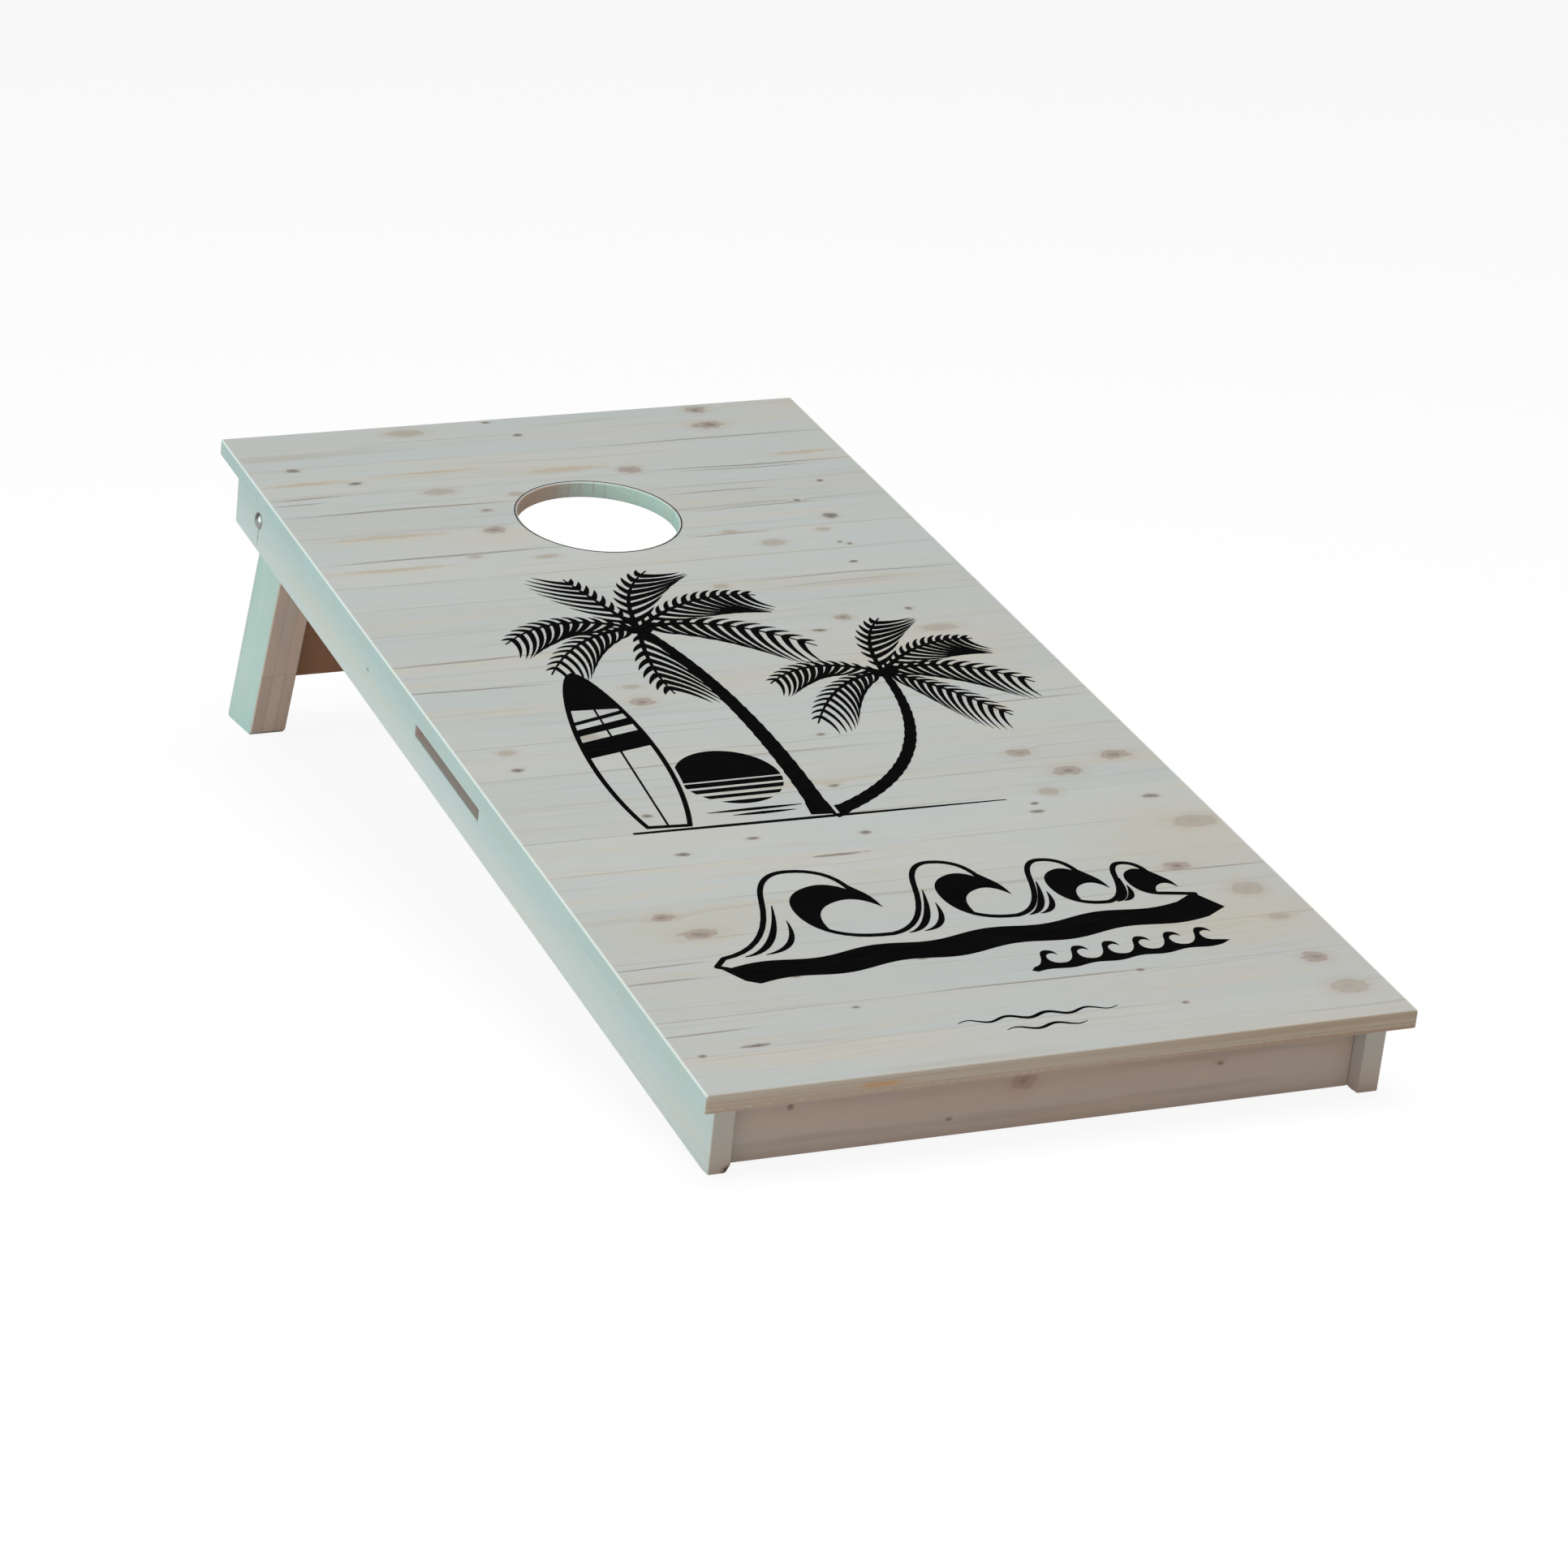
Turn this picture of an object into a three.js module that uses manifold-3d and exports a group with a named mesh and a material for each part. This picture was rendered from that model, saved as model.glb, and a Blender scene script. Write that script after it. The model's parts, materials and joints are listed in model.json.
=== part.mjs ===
// A cornhole board: a tilted wooden target deck on a box frame, with a pair of folding rear legs.
// Millimetres and degrees. +Z is up, +Y runs from the low front edge to the high rear edge,
// and +X runs across the board to the player's right.
// Board pieces are drawn in the deck's own frame: x across, y up the deck from its front edge,
// z out of the playing surface. Leg pieces are drawn in the leg's own frame: the pivot at the
// origin, y across the leg's width towards the rear, z up along the leg.

import * as THREE from 'three';
import { mergeVertices } from 'three/addons/utils/BufferGeometryUtils.js';
import Module from 'manifold-3d';

const wasm = await Module();
wasm.setup();

// ---------- driving dimensions ----------

// Deck and target hole
const DECK_LENGTH = 1200;
const DECK_WIDTH = 600;
const DECK_THICKNESS = 16;
const HOLE_DIAMETER = 152.4;
const HOLE_FROM_REAR = 231;
const RIM_ROUNDING = 1.5;

// Box frame under the deck
const FRAME_HEIGHT = 65;
const FRAME_THICKNESS = 18;
const OVERHANG = 15;
const FRONT_APRON_SETBACK = 15;
const REAR_APRON_HEIGHT = 45;
const GROUND_FLAT = 10;
const REAR_HEIGHT = 305;
const CHIP_WIDTH = 3.6;
const CHIP_HEIGHT = 6.2;
const CHIP_LENGTH = 14;

// Hand slot through each side rail
const SLOT_LENGTH = 158;
const SLOT_HEIGHT = 11;
const SLOT_MIDDLE = 596;
const SLOT_DROP = 29;

// Folding legs
const LEG_WIDTH = 64;
const LEG_THICKNESS = 36;
const LEG_LEAN = 27.4;
const FOOT_CHAMFER = 4;
const PIVOT_FROM_RAIL_END = 68;
const PIVOT_DROP = 33.5;
const LEG_GAP = 2.2;
const LEG_STOP_GAP = 0.3;
const STRETCHER_HEIGHT = 90;
const STRETCHER_LIFT = 53;

// Pivot bolt, washers and lock nut, size M6
const BOLT_RADIUS = 3;
const BOLT_HEAD_RADIUS = 8.25;
const BOLT_HEAD_HEIGHT = 3.6;
const BOLT_HEAD_RIM = 0.5;
const BOLT_TAIL = 2.2;
const BOLT_END_CHAMFER = 0.8;
const NECK_SIDE = 6;
const NECK_LENGTH = 3.6;
const WASHER_RADIUS = 9;
const WASHER_THICKNESS = 1.6;
const NUT_ACROSS_FLATS = 10;
const NUT_HEX_HEIGHT = 4.6;
const NUT_HEIGHT = 6;
const NUT_CHAMFER = 0.9;
const NUT_CHAMFER_HEIGHT = 0.6;
const NUT_COLLAR_RADIUS = 4.7;
const NUT_COLLAR_CHAMFER = 0.5;
const NUT_COLLAR_LIP = 0.6;
const INSERT_HEIGHT = 1.1;
const INSERT_INNER = 3.3;
const INSERT_OUTER = 3.85;

// Dowels and pocket screws
const DOWEL_RADIUS = 4;
const DOWEL_LENGTH = 30;
const DOWEL_CHAMFER = 0.8;
const DOWEL_RELIEF = 0.5;
const DOWEL_FROM_EDGE = 12;
const RAIL_DOWEL_DEPTH = 10;
const STRETCHER_DOWEL_SPREAD = 26;
const LEG_DOWEL_DEPTH = 15;
const SCREW_ANGLE = 15;
const SCREW_RADIUS = 2;
const SCREW_LENGTH = 30;
const SCREW_POINT = 4;
const SCREW_HEAD_RADIUS = 4.2;
const SCREW_HEAD_HEIGHT = 2.4;
const SCREW_HEAD_CHAMFER = 0.7;
const SCREW_SHOULDER = 20;
const DRIVE_SIDE = 2.8;
const DRIVE_DEPTH = 1.5;
const POCKET_RADIUS = 4.8;
const POCKET_REACH = 42;
const SIDE_SCREW_PLACES = [130, 400, 790, 1040];
const APRON_SCREW_PLACES = [-170, 170];

// Fits: glued faces stand this far apart, and fasteners sit this loosely in their holes
const JOINT_GAP = 0.3;
const BORE_GAP = 0.4;

// Cutting shapes run this far past the faces they cut
const PAST = 1;

// ---------- places worked out from the dimensions ----------

const X_AXIS = new THREE.Vector3(1, 0, 0);
const Y_AXIS = new THREE.Vector3(0, 1, 0);
const Z_AXIS = new THREE.Vector3(0, 0, 1);
const radians = THREE.MathUtils.degToRad;

const frameTop = -DECK_THICKNESS - JOINT_GAP;
const frameBottom = frameTop - FRAME_HEIGHT;
const railFront = OVERHANG;
const railRear = DECK_LENGTH - OVERHANG;
const railOuter = DECK_WIDTH / 2 - OVERHANG;
const railInner = railOuter - FRAME_THICKNESS;
const groundEdge = railFront + GROUND_FLAT;

// The deck turns about the rear edge of the rails' ground flats until its rear edge stands at
// REAR_HEIGHT: run * sin(tilt) + rise * cos(tilt) = REAR_HEIGHT.
const run = DECK_LENGTH - groundEdge;
const rise = -frameBottom;
const tilt = Math.asin(REAR_HEIGHT / Math.hypot(run, rise)) - Math.atan2(rise, run);
const deckLift = rise * Math.cos(tilt) - groundEdge * Math.sin(tilt);

const lean = radians(LEG_LEAN);
const leanFromDeck = lean - tilt;
const pivotY = railRear - PIVOT_FROM_RAIL_END;
const pivotZ = frameTop - PIVOT_DROP;
const pivotHeight = deckLift + pivotY * Math.sin(tilt) + pivotZ * Math.cos(tilt);
const legOuter = railInner - LEG_GAP;
const legInner = legOuter - LEG_THICKNESS;
const footDepth = (across) => (pivotHeight + across * Math.sin(lean)) / Math.cos(lean);
const stretcherBottom = STRETCHER_LIFT - footDepth(-LEG_WIDTH / 2);

// The rear apron's lower inner edge is the stop that the legs' rear faces rest against.
const stopZ = frameTop - REAR_APRON_HEIGHT;
const stopReach = LEG_WIDTH / 2 + LEG_STOP_GAP + (pivotZ - stopZ) * Math.sin(leanFromDeck);
const rearApronInner = pivotY + stopReach / Math.cos(leanFromDeck);

// ---------- materials ----------

function timber(color) {
  return new THREE.MeshStandardMaterial({ color, roughness: 0.62, metalness: 0 });
}

const deckWood = timber(0xc3c6bd);
const frameWood = timber(0xb9c6c1);
const legWood = timber(0xaec6b8);
const dowelWood = timber(0xc9ab7e);
const zincSteel = new THREE.MeshStandardMaterial({ color: 0xb9bcc0, roughness: 0.28, metalness: 1 });
const nylon = new THREE.MeshStandardMaterial({ color: 0x3f6fa8, roughness: 0.5, metalness: 0 });

// ---------- solids ----------

function toSolid(geometry) {
  const bare = geometry.clone();
  bare.deleteAttribute('normal');
  bare.deleteAttribute('uv');
  const merged = mergeVertices(bare, 1e-4);
  return new wasm.Manifold(new wasm.Mesh({
    numProp: 3,
    vertProperties: new Float32Array(merged.attributes.position.array),
    triVerts: new Uint32Array(merged.index.array),
  }));
}

function toGeometry(solid) {
  const mesh = solid.getMesh();
  const indexed = new THREE.BufferGeometry();
  indexed.setAttribute('position', new THREE.BufferAttribute(mesh.vertProperties, 3));
  indexed.setIndex(new THREE.BufferAttribute(mesh.triVerts, 1));
  const geometry = indexed.toNonIndexed();
  geometry.computeVertexNormals();
  return geometry;
}

function cut(geometry, cutters) {
  let solid = toSolid(geometry);
  for (const cutter of cutters) {
    solid = solid.subtract(toSolid(cutter));
  }
  return toGeometry(solid);
}

function box(xSize, ySize, zSize, x, y, z) {
  return new THREE.BoxGeometry(xSize, ySize, zSize).translate(x, y, z);
}

// A shape drawn in (y, z), extruded along +x from xStart.
function extrudeAcross(shape, xStart, thickness) {
  const geometry = new THREE.ExtrudeGeometry(shape, { depth: thickness, bevelEnabled: false, curveSegments: 24 });
  geometry.applyMatrix4(new THREE.Matrix4().makeBasis(Y_AXIS, Z_AXIS, X_AXIS));
  return geometry.translate(xStart, 0, 0);
}

// A shape drawn in (x, z), extruded along +y from yStart.
function extrudeAlong(shape, yStart, length) {
  const geometry = new THREE.ExtrudeGeometry(shape, { depth: length, bevelEnabled: false, curveSegments: 6 });
  geometry.applyMatrix4(new THREE.Matrix4().makeBasis(X_AXIS, Z_AXIS, Y_AXIS.clone().negate()));
  return geometry.translate(0, yStart + length, 0);
}

// Turns a geometry whose axis is +y so that its axis points along direction, and sets its base at start.
function aim(geometry, start, direction) {
  geometry.applyQuaternion(new THREE.Quaternion().setFromUnitVectors(Y_AXIS, direction));
  return geometry.translate(start.x, start.y, start.z);
}

// A round rod or drill path from start along direction.
function rod(radius, length, start, direction, segments = 16) {
  const geometry = new THREE.CylinderGeometry(radius, radius, length, segments);
  return aim(geometry.translate(0, length / 2, 0), start, direction);
}

// A turned solid from [radius, height] points that start and end on the axis.
function turned(points, segments = 20) {
  return new THREE.LatheGeometry(points.map(([radius, height]) => new THREE.Vector2(radius, height)), segments);
}

// A flat ring, as a turned profile that closes on itself.
function ring(inner, outer, height, segments = 20) {
  return turned([[inner, 0], [outer, 0], [outer, height], [inner, height], [inner, 0]], segments);
}

const model = new THREE.Group();
const board = new THREE.Group();
const legs = new THREE.Group();

function add(group, name, geometry, material) {
  const mesh = new THREE.Mesh(geometry, material.clone());
  mesh.name = name;
  group.add(mesh);
}

// ---------- fasteners ----------

// A dowel hole is deeper than the dowel at each end, so that the dowel never bottoms out.
function dowelHole(middle, direction) {
  const half = DOWEL_LENGTH / 2 + DOWEL_RELIEF;
  const start = middle.clone().addScaledVector(direction, -half);
  return rod(DOWEL_RADIUS + BORE_GAP, 2 * half, start, direction);
}

function dowel(middle, direction) {
  const profile = [
    [0, 0],
    [DOWEL_RADIUS - DOWEL_CHAMFER, 0],
    [DOWEL_RADIUS, DOWEL_CHAMFER],
    [DOWEL_RADIUS, DOWEL_LENGTH - DOWEL_CHAMFER],
    [DOWEL_RADIUS - DOWEL_CHAMFER, DOWEL_LENGTH],
    [0, DOWEL_LENGTH],
  ];
  const start = middle.clone().addScaledVector(direction, -DOWEL_LENGTH / 2);
  return aim(turned(profile, 12), start, direction);
}

// Pocket screws rise through the top edge of the frame into the deck. Each place is the point
// where the screw's line leaves the frame's top edge, and inward points to the frame's inside.
function pocketLine(inward) {
  const slope = radians(SCREW_ANGLE);
  return inward.clone().multiplyScalar(-Math.sin(slope)).addScaledVector(Z_AXIS, Math.cos(slope));
}

function pocketHole(place, inward) {
  const up = pocketLine(inward);
  const start = place.clone().addScaledVector(up, -SCREW_SHOULDER - POCKET_REACH);
  return rod(POCKET_RADIUS, POCKET_REACH, start, up, 20);
}

function pilotHole(place, inward) {
  const up = pocketLine(inward);
  const start = place.clone().addScaledVector(up, -SCREW_SHOULDER - PAST);
  return rod(SCREW_RADIUS + BORE_GAP, SCREW_LENGTH + 2 * PAST, start, up, 12);
}

function pocketScrew(place, inward) {
  const up = pocketLine(inward);
  const profile = [
    [0, 0],
    [SCREW_HEAD_RADIUS - SCREW_HEAD_CHAMFER, 0],
    [SCREW_HEAD_RADIUS, SCREW_HEAD_CHAMFER],
    [SCREW_HEAD_RADIUS, SCREW_HEAD_HEIGHT],
    [SCREW_RADIUS, SCREW_HEAD_HEIGHT],
    [SCREW_RADIUS, SCREW_HEAD_HEIGHT + SCREW_LENGTH - SCREW_POINT],
    [0, SCREW_HEAD_HEIGHT + SCREW_LENGTH],
  ];
  const drive = box(DRIVE_SIDE, DRIVE_DEPTH * 2, DRIVE_SIDE, 0, 0, 0);
  const start = place.clone().addScaledVector(up, -SCREW_SHOULDER - SCREW_HEAD_HEIGHT - JOINT_GAP);
  return aim(cut(turned(profile, 14), [drive]), start, up);
}

function sideScrewPlaces(side) {
  const middle = side * (railOuter - FRAME_THICKNESS / 2);
  return SIDE_SCREW_PLACES.map((y) => new THREE.Vector3(middle, y, frameTop));
}

function apronScrewPlaces(apron) {
  return apron.screws.map((x) => new THREE.Vector3(x, apron.middle, frameTop));
}

// ---------- frame ----------

const frontApron = {
  name: 'front_apron',
  middle: railFront + FRONT_APRON_SETBACK + FRAME_THICKNESS / 2,
  height: FRAME_HEIGHT,
  screws: APRON_SCREW_PLACES,
};
const rearApron = {
  name: 'rear_apron',
  middle: rearApronInner + FRAME_THICKNESS / 2,
  height: REAR_APRON_HEIGHT,
  screws: [],
};
const aprons = [frontApron, rearApron];
const sides = [
  { name: 'left', sign: -1, inward: X_AXIS },
  { name: 'right', sign: 1, inward: X_AXIS.clone().negate() },
];

// The two dowels at each corner of the frame run along x from the rail into the apron's end.
function cornerDowelMiddles(sign, apron) {
  const x = sign * (railInner + RAIL_DOWEL_DEPTH - DOWEL_LENGTH / 2);
  const drops = [DOWEL_FROM_EDGE, apron.height - DOWEL_FROM_EDGE];
  return drops.map((drop) => new THREE.Vector3(x, apron.middle, frameTop - drop));
}

// A rail seen from the side: a long bar whose front lower corner is cut off along the ground.
function railShape() {
  const shape = new THREE.Shape();
  shape.moveTo(groundEdge, frameBottom);
  shape.lineTo(railRear, frameBottom);
  shape.lineTo(railRear, frameTop);
  shape.lineTo(railFront, frameTop);
  shape.lineTo(railFront, frameBottom + GROUND_FLAT * Math.tan(tilt));
  return shape;
}

function slotCutter(sign) {
  const middleX = sign * (railOuter - FRAME_THICKNESS / 2);
  return box(FRAME_THICKNESS + 2 * PAST, SLOT_LENGTH, SLOT_HEIGHT, middleX, SLOT_MIDDLE, frameTop - SLOT_DROP);
}

// The bolt hole runs through the rail, with a square seat at the outer face for the bolt's neck.
function boltHoleInRail(sign) {
  const outward = new THREE.Vector3(sign, 0, 0);
  const inside = new THREE.Vector3(sign * (railInner - PAST), pivotY, pivotZ);
  const seatSide = NECK_SIDE + 2 * JOINT_GAP;
  const seatDepth = NECK_LENGTH + 2 * JOINT_GAP;
  return [
    rod(BOLT_RADIUS + BORE_GAP, FRAME_THICKNESS + 2 * PAST, inside, outward, 20),
    box(seatDepth * 2, seatSide, seatSide, sign * railOuter, pivotY, pivotZ),
  ];
}

// The left rail has lost a small wedge of wood from its lower inner front corner.
function chippedCorner() {
  const shape = new THREE.Shape();
  shape.moveTo(-CHIP_WIDTH, 0);
  shape.lineTo(PAST, -CHIP_HEIGHT);
  shape.lineTo(PAST, CHIP_HEIGHT);
  shape.lineTo(0, CHIP_HEIGHT);
  const cornerZ = frameBottom + GROUND_FLAT * Math.tan(tilt);
  const wedge = extrudeAlong(shape, railFront - PAST, CHIP_LENGTH);
  return wedge.translate(-railInner, 0, cornerZ);
}

function sideRail(side) {
  const xStart = side.sign > 0 ? railInner : -railOuter;
  const cutters = [slotCutter(side.sign), ...boltHoleInRail(side.sign)];
  for (const apron of aprons) {
    for (const middle of cornerDowelMiddles(side.sign, apron)) {
      cutters.push(dowelHole(middle, X_AXIS));
    }
  }
  for (const place of sideScrewPlaces(side.sign)) {
    cutters.push(pocketHole(place, side.inward), pilotHole(place, side.inward));
  }
  if (side.sign < 0) {
    cutters.push(chippedCorner());
  }
  return cut(extrudeAcross(railShape(), xStart, FRAME_THICKNESS), cutters);
}

function apronBoard(apron) {
  const length = 2 * (railInner - JOINT_GAP);
  const blank = box(length, FRAME_THICKNESS, apron.height, 0, apron.middle, frameTop - apron.height / 2);
  const cutters = [];
  for (const side of sides) {
    for (const middle of cornerDowelMiddles(side.sign, apron)) {
      cutters.push(dowelHole(middle, X_AXIS));
    }
  }
  for (const place of apronScrewPlaces(apron)) {
    cutters.push(pocketHole(place, Y_AXIS), pilotHole(place, Y_AXIS));
  }
  return cut(blank, cutters);
}

// ---------- deck ----------

// The target hole's cutter: a spool whose flared ends round the rims on both faces of the deck.
function targetHole() {
  const bore = HOLE_DIAMETER / 2;
  const flare = bore + RIM_ROUNDING;
  const arcSteps = 3;
  const lower = [];
  for (let step = 0; step <= arcSteps; step += 1) {
    const angle = (step / arcSteps) * (Math.PI / 2);
    const radius = flare - RIM_ROUNDING * Math.sin(angle);
    lower.push([radius, -DECK_THICKNESS + RIM_ROUNDING * (1 - Math.cos(angle))]);
  }
  const upper = lower.map(([radius, height]) => [radius, -DECK_THICKNESS - height]).reverse();
  const profile = [
    [0, -DECK_THICKNESS - PAST],
    [flare, -DECK_THICKNESS - PAST],
    ...lower,
    ...upper,
    [flare, PAST],
    [0, PAST],
  ];
  return aim(turned(profile, 96), new THREE.Vector3(0, DECK_LENGTH - HOLE_FROM_REAR, 0), Z_AXIS);
}

function deckPanel() {
  const blank = box(DECK_WIDTH, DECK_LENGTH, DECK_THICKNESS, 0, DECK_LENGTH / 2, -DECK_THICKNESS / 2);
  const cutters = [targetHole()];
  for (const side of sides) {
    cutters.push(...sideScrewPlaces(side.sign).map((place) => pilotHole(place, side.inward)));
  }
  for (const apron of aprons) {
    cutters.push(...apronScrewPlaces(apron).map((place) => pilotHole(place, Y_AXIS)));
  }
  return cut(blank, cutters);
}

// ---------- legs ----------

// Cuts the corner between two straight edges: the two points that stand size away from it.
function chamferPoints(corner, before, after, size) {
  const towards = (point) => corner.clone().add(point.clone().sub(corner).setLength(size));
  return [towards(before), towards(after)];
}

// A leg seen from the side: a round top about the pivot, straight edges, and a foot cut level with
// the ground, with both of its corners taken off.
function legShape() {
  const half = LEG_WIDTH / 2;
  const frontTop = new THREE.Vector2(-half, 0);
  const frontFoot = new THREE.Vector2(-half, -footDepth(-half));
  const rearFoot = new THREE.Vector2(half, -footDepth(half));
  const rearTop = new THREE.Vector2(half, 0);
  const [frontHigh, frontLow] = chamferPoints(frontFoot, frontTop, rearFoot, FOOT_CHAMFER);
  const [rearLow, rearHigh] = chamferPoints(rearFoot, frontFoot, rearTop, FOOT_CHAMFER);
  const shape = new THREE.Shape();
  shape.moveTo(frontHigh.x, frontHigh.y);
  shape.lineTo(frontLow.x, frontLow.y);
  shape.lineTo(rearLow.x, rearLow.y);
  shape.lineTo(rearHigh.x, rearHigh.y);
  shape.lineTo(half, 0);
  shape.absarc(0, 0, half, 0, Math.PI, false);
  return shape;
}

const stretcherMiddle = stretcherBottom + STRETCHER_HEIGHT / 2;

function stretcherDowelMiddles(sign) {
  const x = sign * (legInner + LEG_DOWEL_DEPTH - DOWEL_LENGTH / 2);
  return [1, -1].map((up) => new THREE.Vector3(x, 0, stretcherMiddle + up * STRETCHER_DOWEL_SPREAD));
}

function leg(side) {
  const xStart = side.sign > 0 ? legInner : -legOuter;
  const boltStart = new THREE.Vector3(side.sign * (legInner - PAST), 0, 0);
  const outward = new THREE.Vector3(side.sign, 0, 0);
  const cutters = [rod(BOLT_RADIUS + BORE_GAP, LEG_THICKNESS + 2 * PAST, boltStart, outward, 20)];
  for (const middle of stretcherDowelMiddles(side.sign)) {
    cutters.push(dowelHole(middle, X_AXIS));
  }
  return cut(extrudeAcross(legShape(), xStart, LEG_THICKNESS), cutters);
}

function stretcher() {
  const length = 2 * (legInner - JOINT_GAP);
  const blank = box(length, FRAME_THICKNESS, STRETCHER_HEIGHT, 0, 0, stretcherMiddle);
  const holes = sides.flatMap((side) => stretcherDowelMiddles(side.sign).map((at) => dowelHole(at, X_AXIS)));
  return cut(blank, holes);
}

// ---------- pivot hardware ----------

// Each pivot is a stack along x: bolt head, rail, washer, leg, washer, lock nut, bolt tail.
const headSeat = railOuter + JOINT_GAP;
const railWasherFace = legOuter + JOINT_GAP;
const nutWasherFace = legInner - JOINT_GAP - WASHER_THICKNESS;
const nutFace = nutWasherFace - JOINT_GAP;
const boltLength = headSeat - (nutFace - NUT_HEIGHT - BOLT_TAIL);

function atPivot(geometry, side, x) {
  const outward = new THREE.Vector3(side.sign, 0, 0);
  return aim(geometry, new THREE.Vector3(side.sign * x, pivotY, pivotZ), outward);
}

// A carriage bolt with its axis along +y and the underside of its domed head at the origin.
function carriageBolt() {
  const domeHeight = BOLT_HEAD_HEIGHT - BOLT_HEAD_RIM;
  const domeRadius = (BOLT_HEAD_RADIUS ** 2 + domeHeight ** 2) / (2 * domeHeight);
  const halfAngle = Math.asin(BOLT_HEAD_RADIUS / domeRadius);
  const domeSteps = 8;
  const dome = [];
  for (let step = domeSteps - 1; step > 0; step -= 1) {
    const angle = (halfAngle * step) / domeSteps;
    dome.push([domeRadius * Math.sin(angle), BOLT_HEAD_HEIGHT - domeRadius * (1 - Math.cos(angle))]);
  }
  const profile = [
    [0, -boltLength],
    [BOLT_RADIUS - BOLT_END_CHAMFER, -boltLength],
    [BOLT_RADIUS, -boltLength + BOLT_END_CHAMFER],
    [BOLT_RADIUS, 0],
    [BOLT_HEAD_RADIUS, 0],
    [BOLT_HEAD_RADIUS, BOLT_HEAD_RIM],
    ...dome,
    [0, BOLT_HEAD_HEIGHT],
  ];
  const neck = box(NECK_SIDE, NECK_LENGTH + 0.2, NECK_SIDE, 0, 0.1 - NECK_LENGTH / 2, 0);
  return toGeometry(toSolid(turned(profile, 28)).add(toSolid(neck)));
}

// A hexagon nut with a round collar, hollowed for its nylon insert. It sits on the origin, and its
// collar points along -y, away from the leg.
function lockNut() {
  const corner = NUT_ACROSS_FLATS / 2 / Math.cos(Math.PI / 6);
  const hexagon = new THREE.CylinderGeometry(corner, corner, NUT_HEX_HEIGHT, 6).translate(0, -NUT_HEX_HEIGHT / 2, 0);
  const chamfer = turned([
    [0, -NUT_HEX_HEIGHT],
    [corner - NUT_CHAMFER, -NUT_HEX_HEIGHT],
    [corner + 0.1, -NUT_HEX_HEIGHT + NUT_CHAMFER_HEIGHT],
    [corner + 0.1, -NUT_CHAMFER_HEIGHT],
    [corner - NUT_CHAMFER, 0],
    [0, 0],
  ], 24);
  const collar = turned([
    [0, -NUT_HEIGHT],
    [NUT_COLLAR_RADIUS - NUT_COLLAR_CHAMFER, -NUT_HEIGHT],
    [NUT_COLLAR_RADIUS, -NUT_HEIGHT + NUT_COLLAR_CHAMFER],
    [NUT_COLLAR_RADIUS, -NUT_HEX_HEIGHT / 2],
    [0, -NUT_HEX_HEIGHT / 2],
  ], 20);
  const boreRadius = BOLT_RADIUS + BORE_GAP;
  const bore = new THREE.CylinderGeometry(boreRadius, boreRadius, 3 * NUT_HEIGHT, 20);
  const groove = INSERT_OUTER + JOINT_GAP;
  const grooveHeight = INSERT_HEIGHT + 2 * JOINT_GAP;
  const grooveCutter = new THREE.CylinderGeometry(groove, groove, grooveHeight, 20);
  grooveCutter.translate(0, insertMiddle(), 0);
  const body = toSolid(hexagon).intersect(toSolid(chamfer)).add(toSolid(collar));
  return toGeometry(body.subtract(toSolid(bore)).subtract(toSolid(grooveCutter)));
}

function insertMiddle() {
  return -NUT_HEIGHT + NUT_COLLAR_LIP + INSERT_HEIGHT / 2 + JOINT_GAP;
}

function nutInsert() {
  return ring(INSERT_INNER, INSERT_OUTER, INSERT_HEIGHT).translate(0, insertMiddle() - INSERT_HEIGHT / 2, 0);
}

function washer() {
  return ring(BOLT_RADIUS + BORE_GAP, WASHER_RADIUS, WASHER_THICKNESS);
}

// ---------- assembly ----------

add(board, 'deck', deckPanel(), deckWood);
for (const side of sides) {
  add(board, `side_rail_${side.name}`, sideRail(side), frameWood);
}
for (const apron of aprons) {
  add(board, apron.name, apronBoard(apron), frameWood);
  for (const side of sides) {
    cornerDowelMiddles(side.sign, apron).forEach((middle, index) => {
      const level = index === 0 ? 'upper' : 'lower';
      add(board, `${apron.name}_dowel_${side.name}_${level}`, dowel(middle, X_AXIS), dowelWood);
    });
  }
  apronScrewPlaces(apron).forEach((place, index) => {
    add(board, `${apron.name}_pocket_screw_${sides[index].name}`, pocketScrew(place, Y_AXIS), zincSteel);
  });
}
for (const side of sides) {
  sideScrewPlaces(side.sign).forEach((place, index) => {
    add(board, `side_rail_pocket_screw_${side.name}_${index + 1}`, pocketScrew(place, side.inward), zincSteel);
  });
  add(board, `pivot_bolt_${side.name}`, atPivot(carriageBolt(), side, headSeat), zincSteel);
  add(board, `spacer_washer_${side.name}`, atPivot(washer(), side, railWasherFace), zincSteel);
  add(board, `nut_washer_${side.name}`, atPivot(washer(), side, nutWasherFace), zincSteel);
  add(board, `lock_nut_${side.name}`, atPivot(lockNut(), side, nutFace), zincSteel);
  add(board, `lock_nut_insert_${side.name}`, atPivot(nutInsert(), side, nutFace), nylon);

  add(legs, `leg_${side.name}`, leg(side), legWood);
  stretcherDowelMiddles(side.sign).forEach((middle, index) => {
    const level = index === 0 ? 'upper' : 'lower';
    add(legs, `stretcher_dowel_${side.name}_${level}`, dowel(middle, X_AXIS), dowelWood);
  });
}
add(legs, 'leg_stretcher', stretcher(), frameWood);

board.rotation.x = tilt;
board.position.z = deckLift;
legs.rotation.x = lean;
legs.position.y = pivotY * Math.cos(tilt) - pivotZ * Math.sin(tilt);
legs.position.z = pivotHeight;
model.add(board, legs);

// The origin is on the ground, in the middle of the board's length and width.
const footprint = new THREE.Box3().setFromObject(model, true);
model.position.y = -(footprint.min.y + footprint.max.y) / 2;

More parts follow.
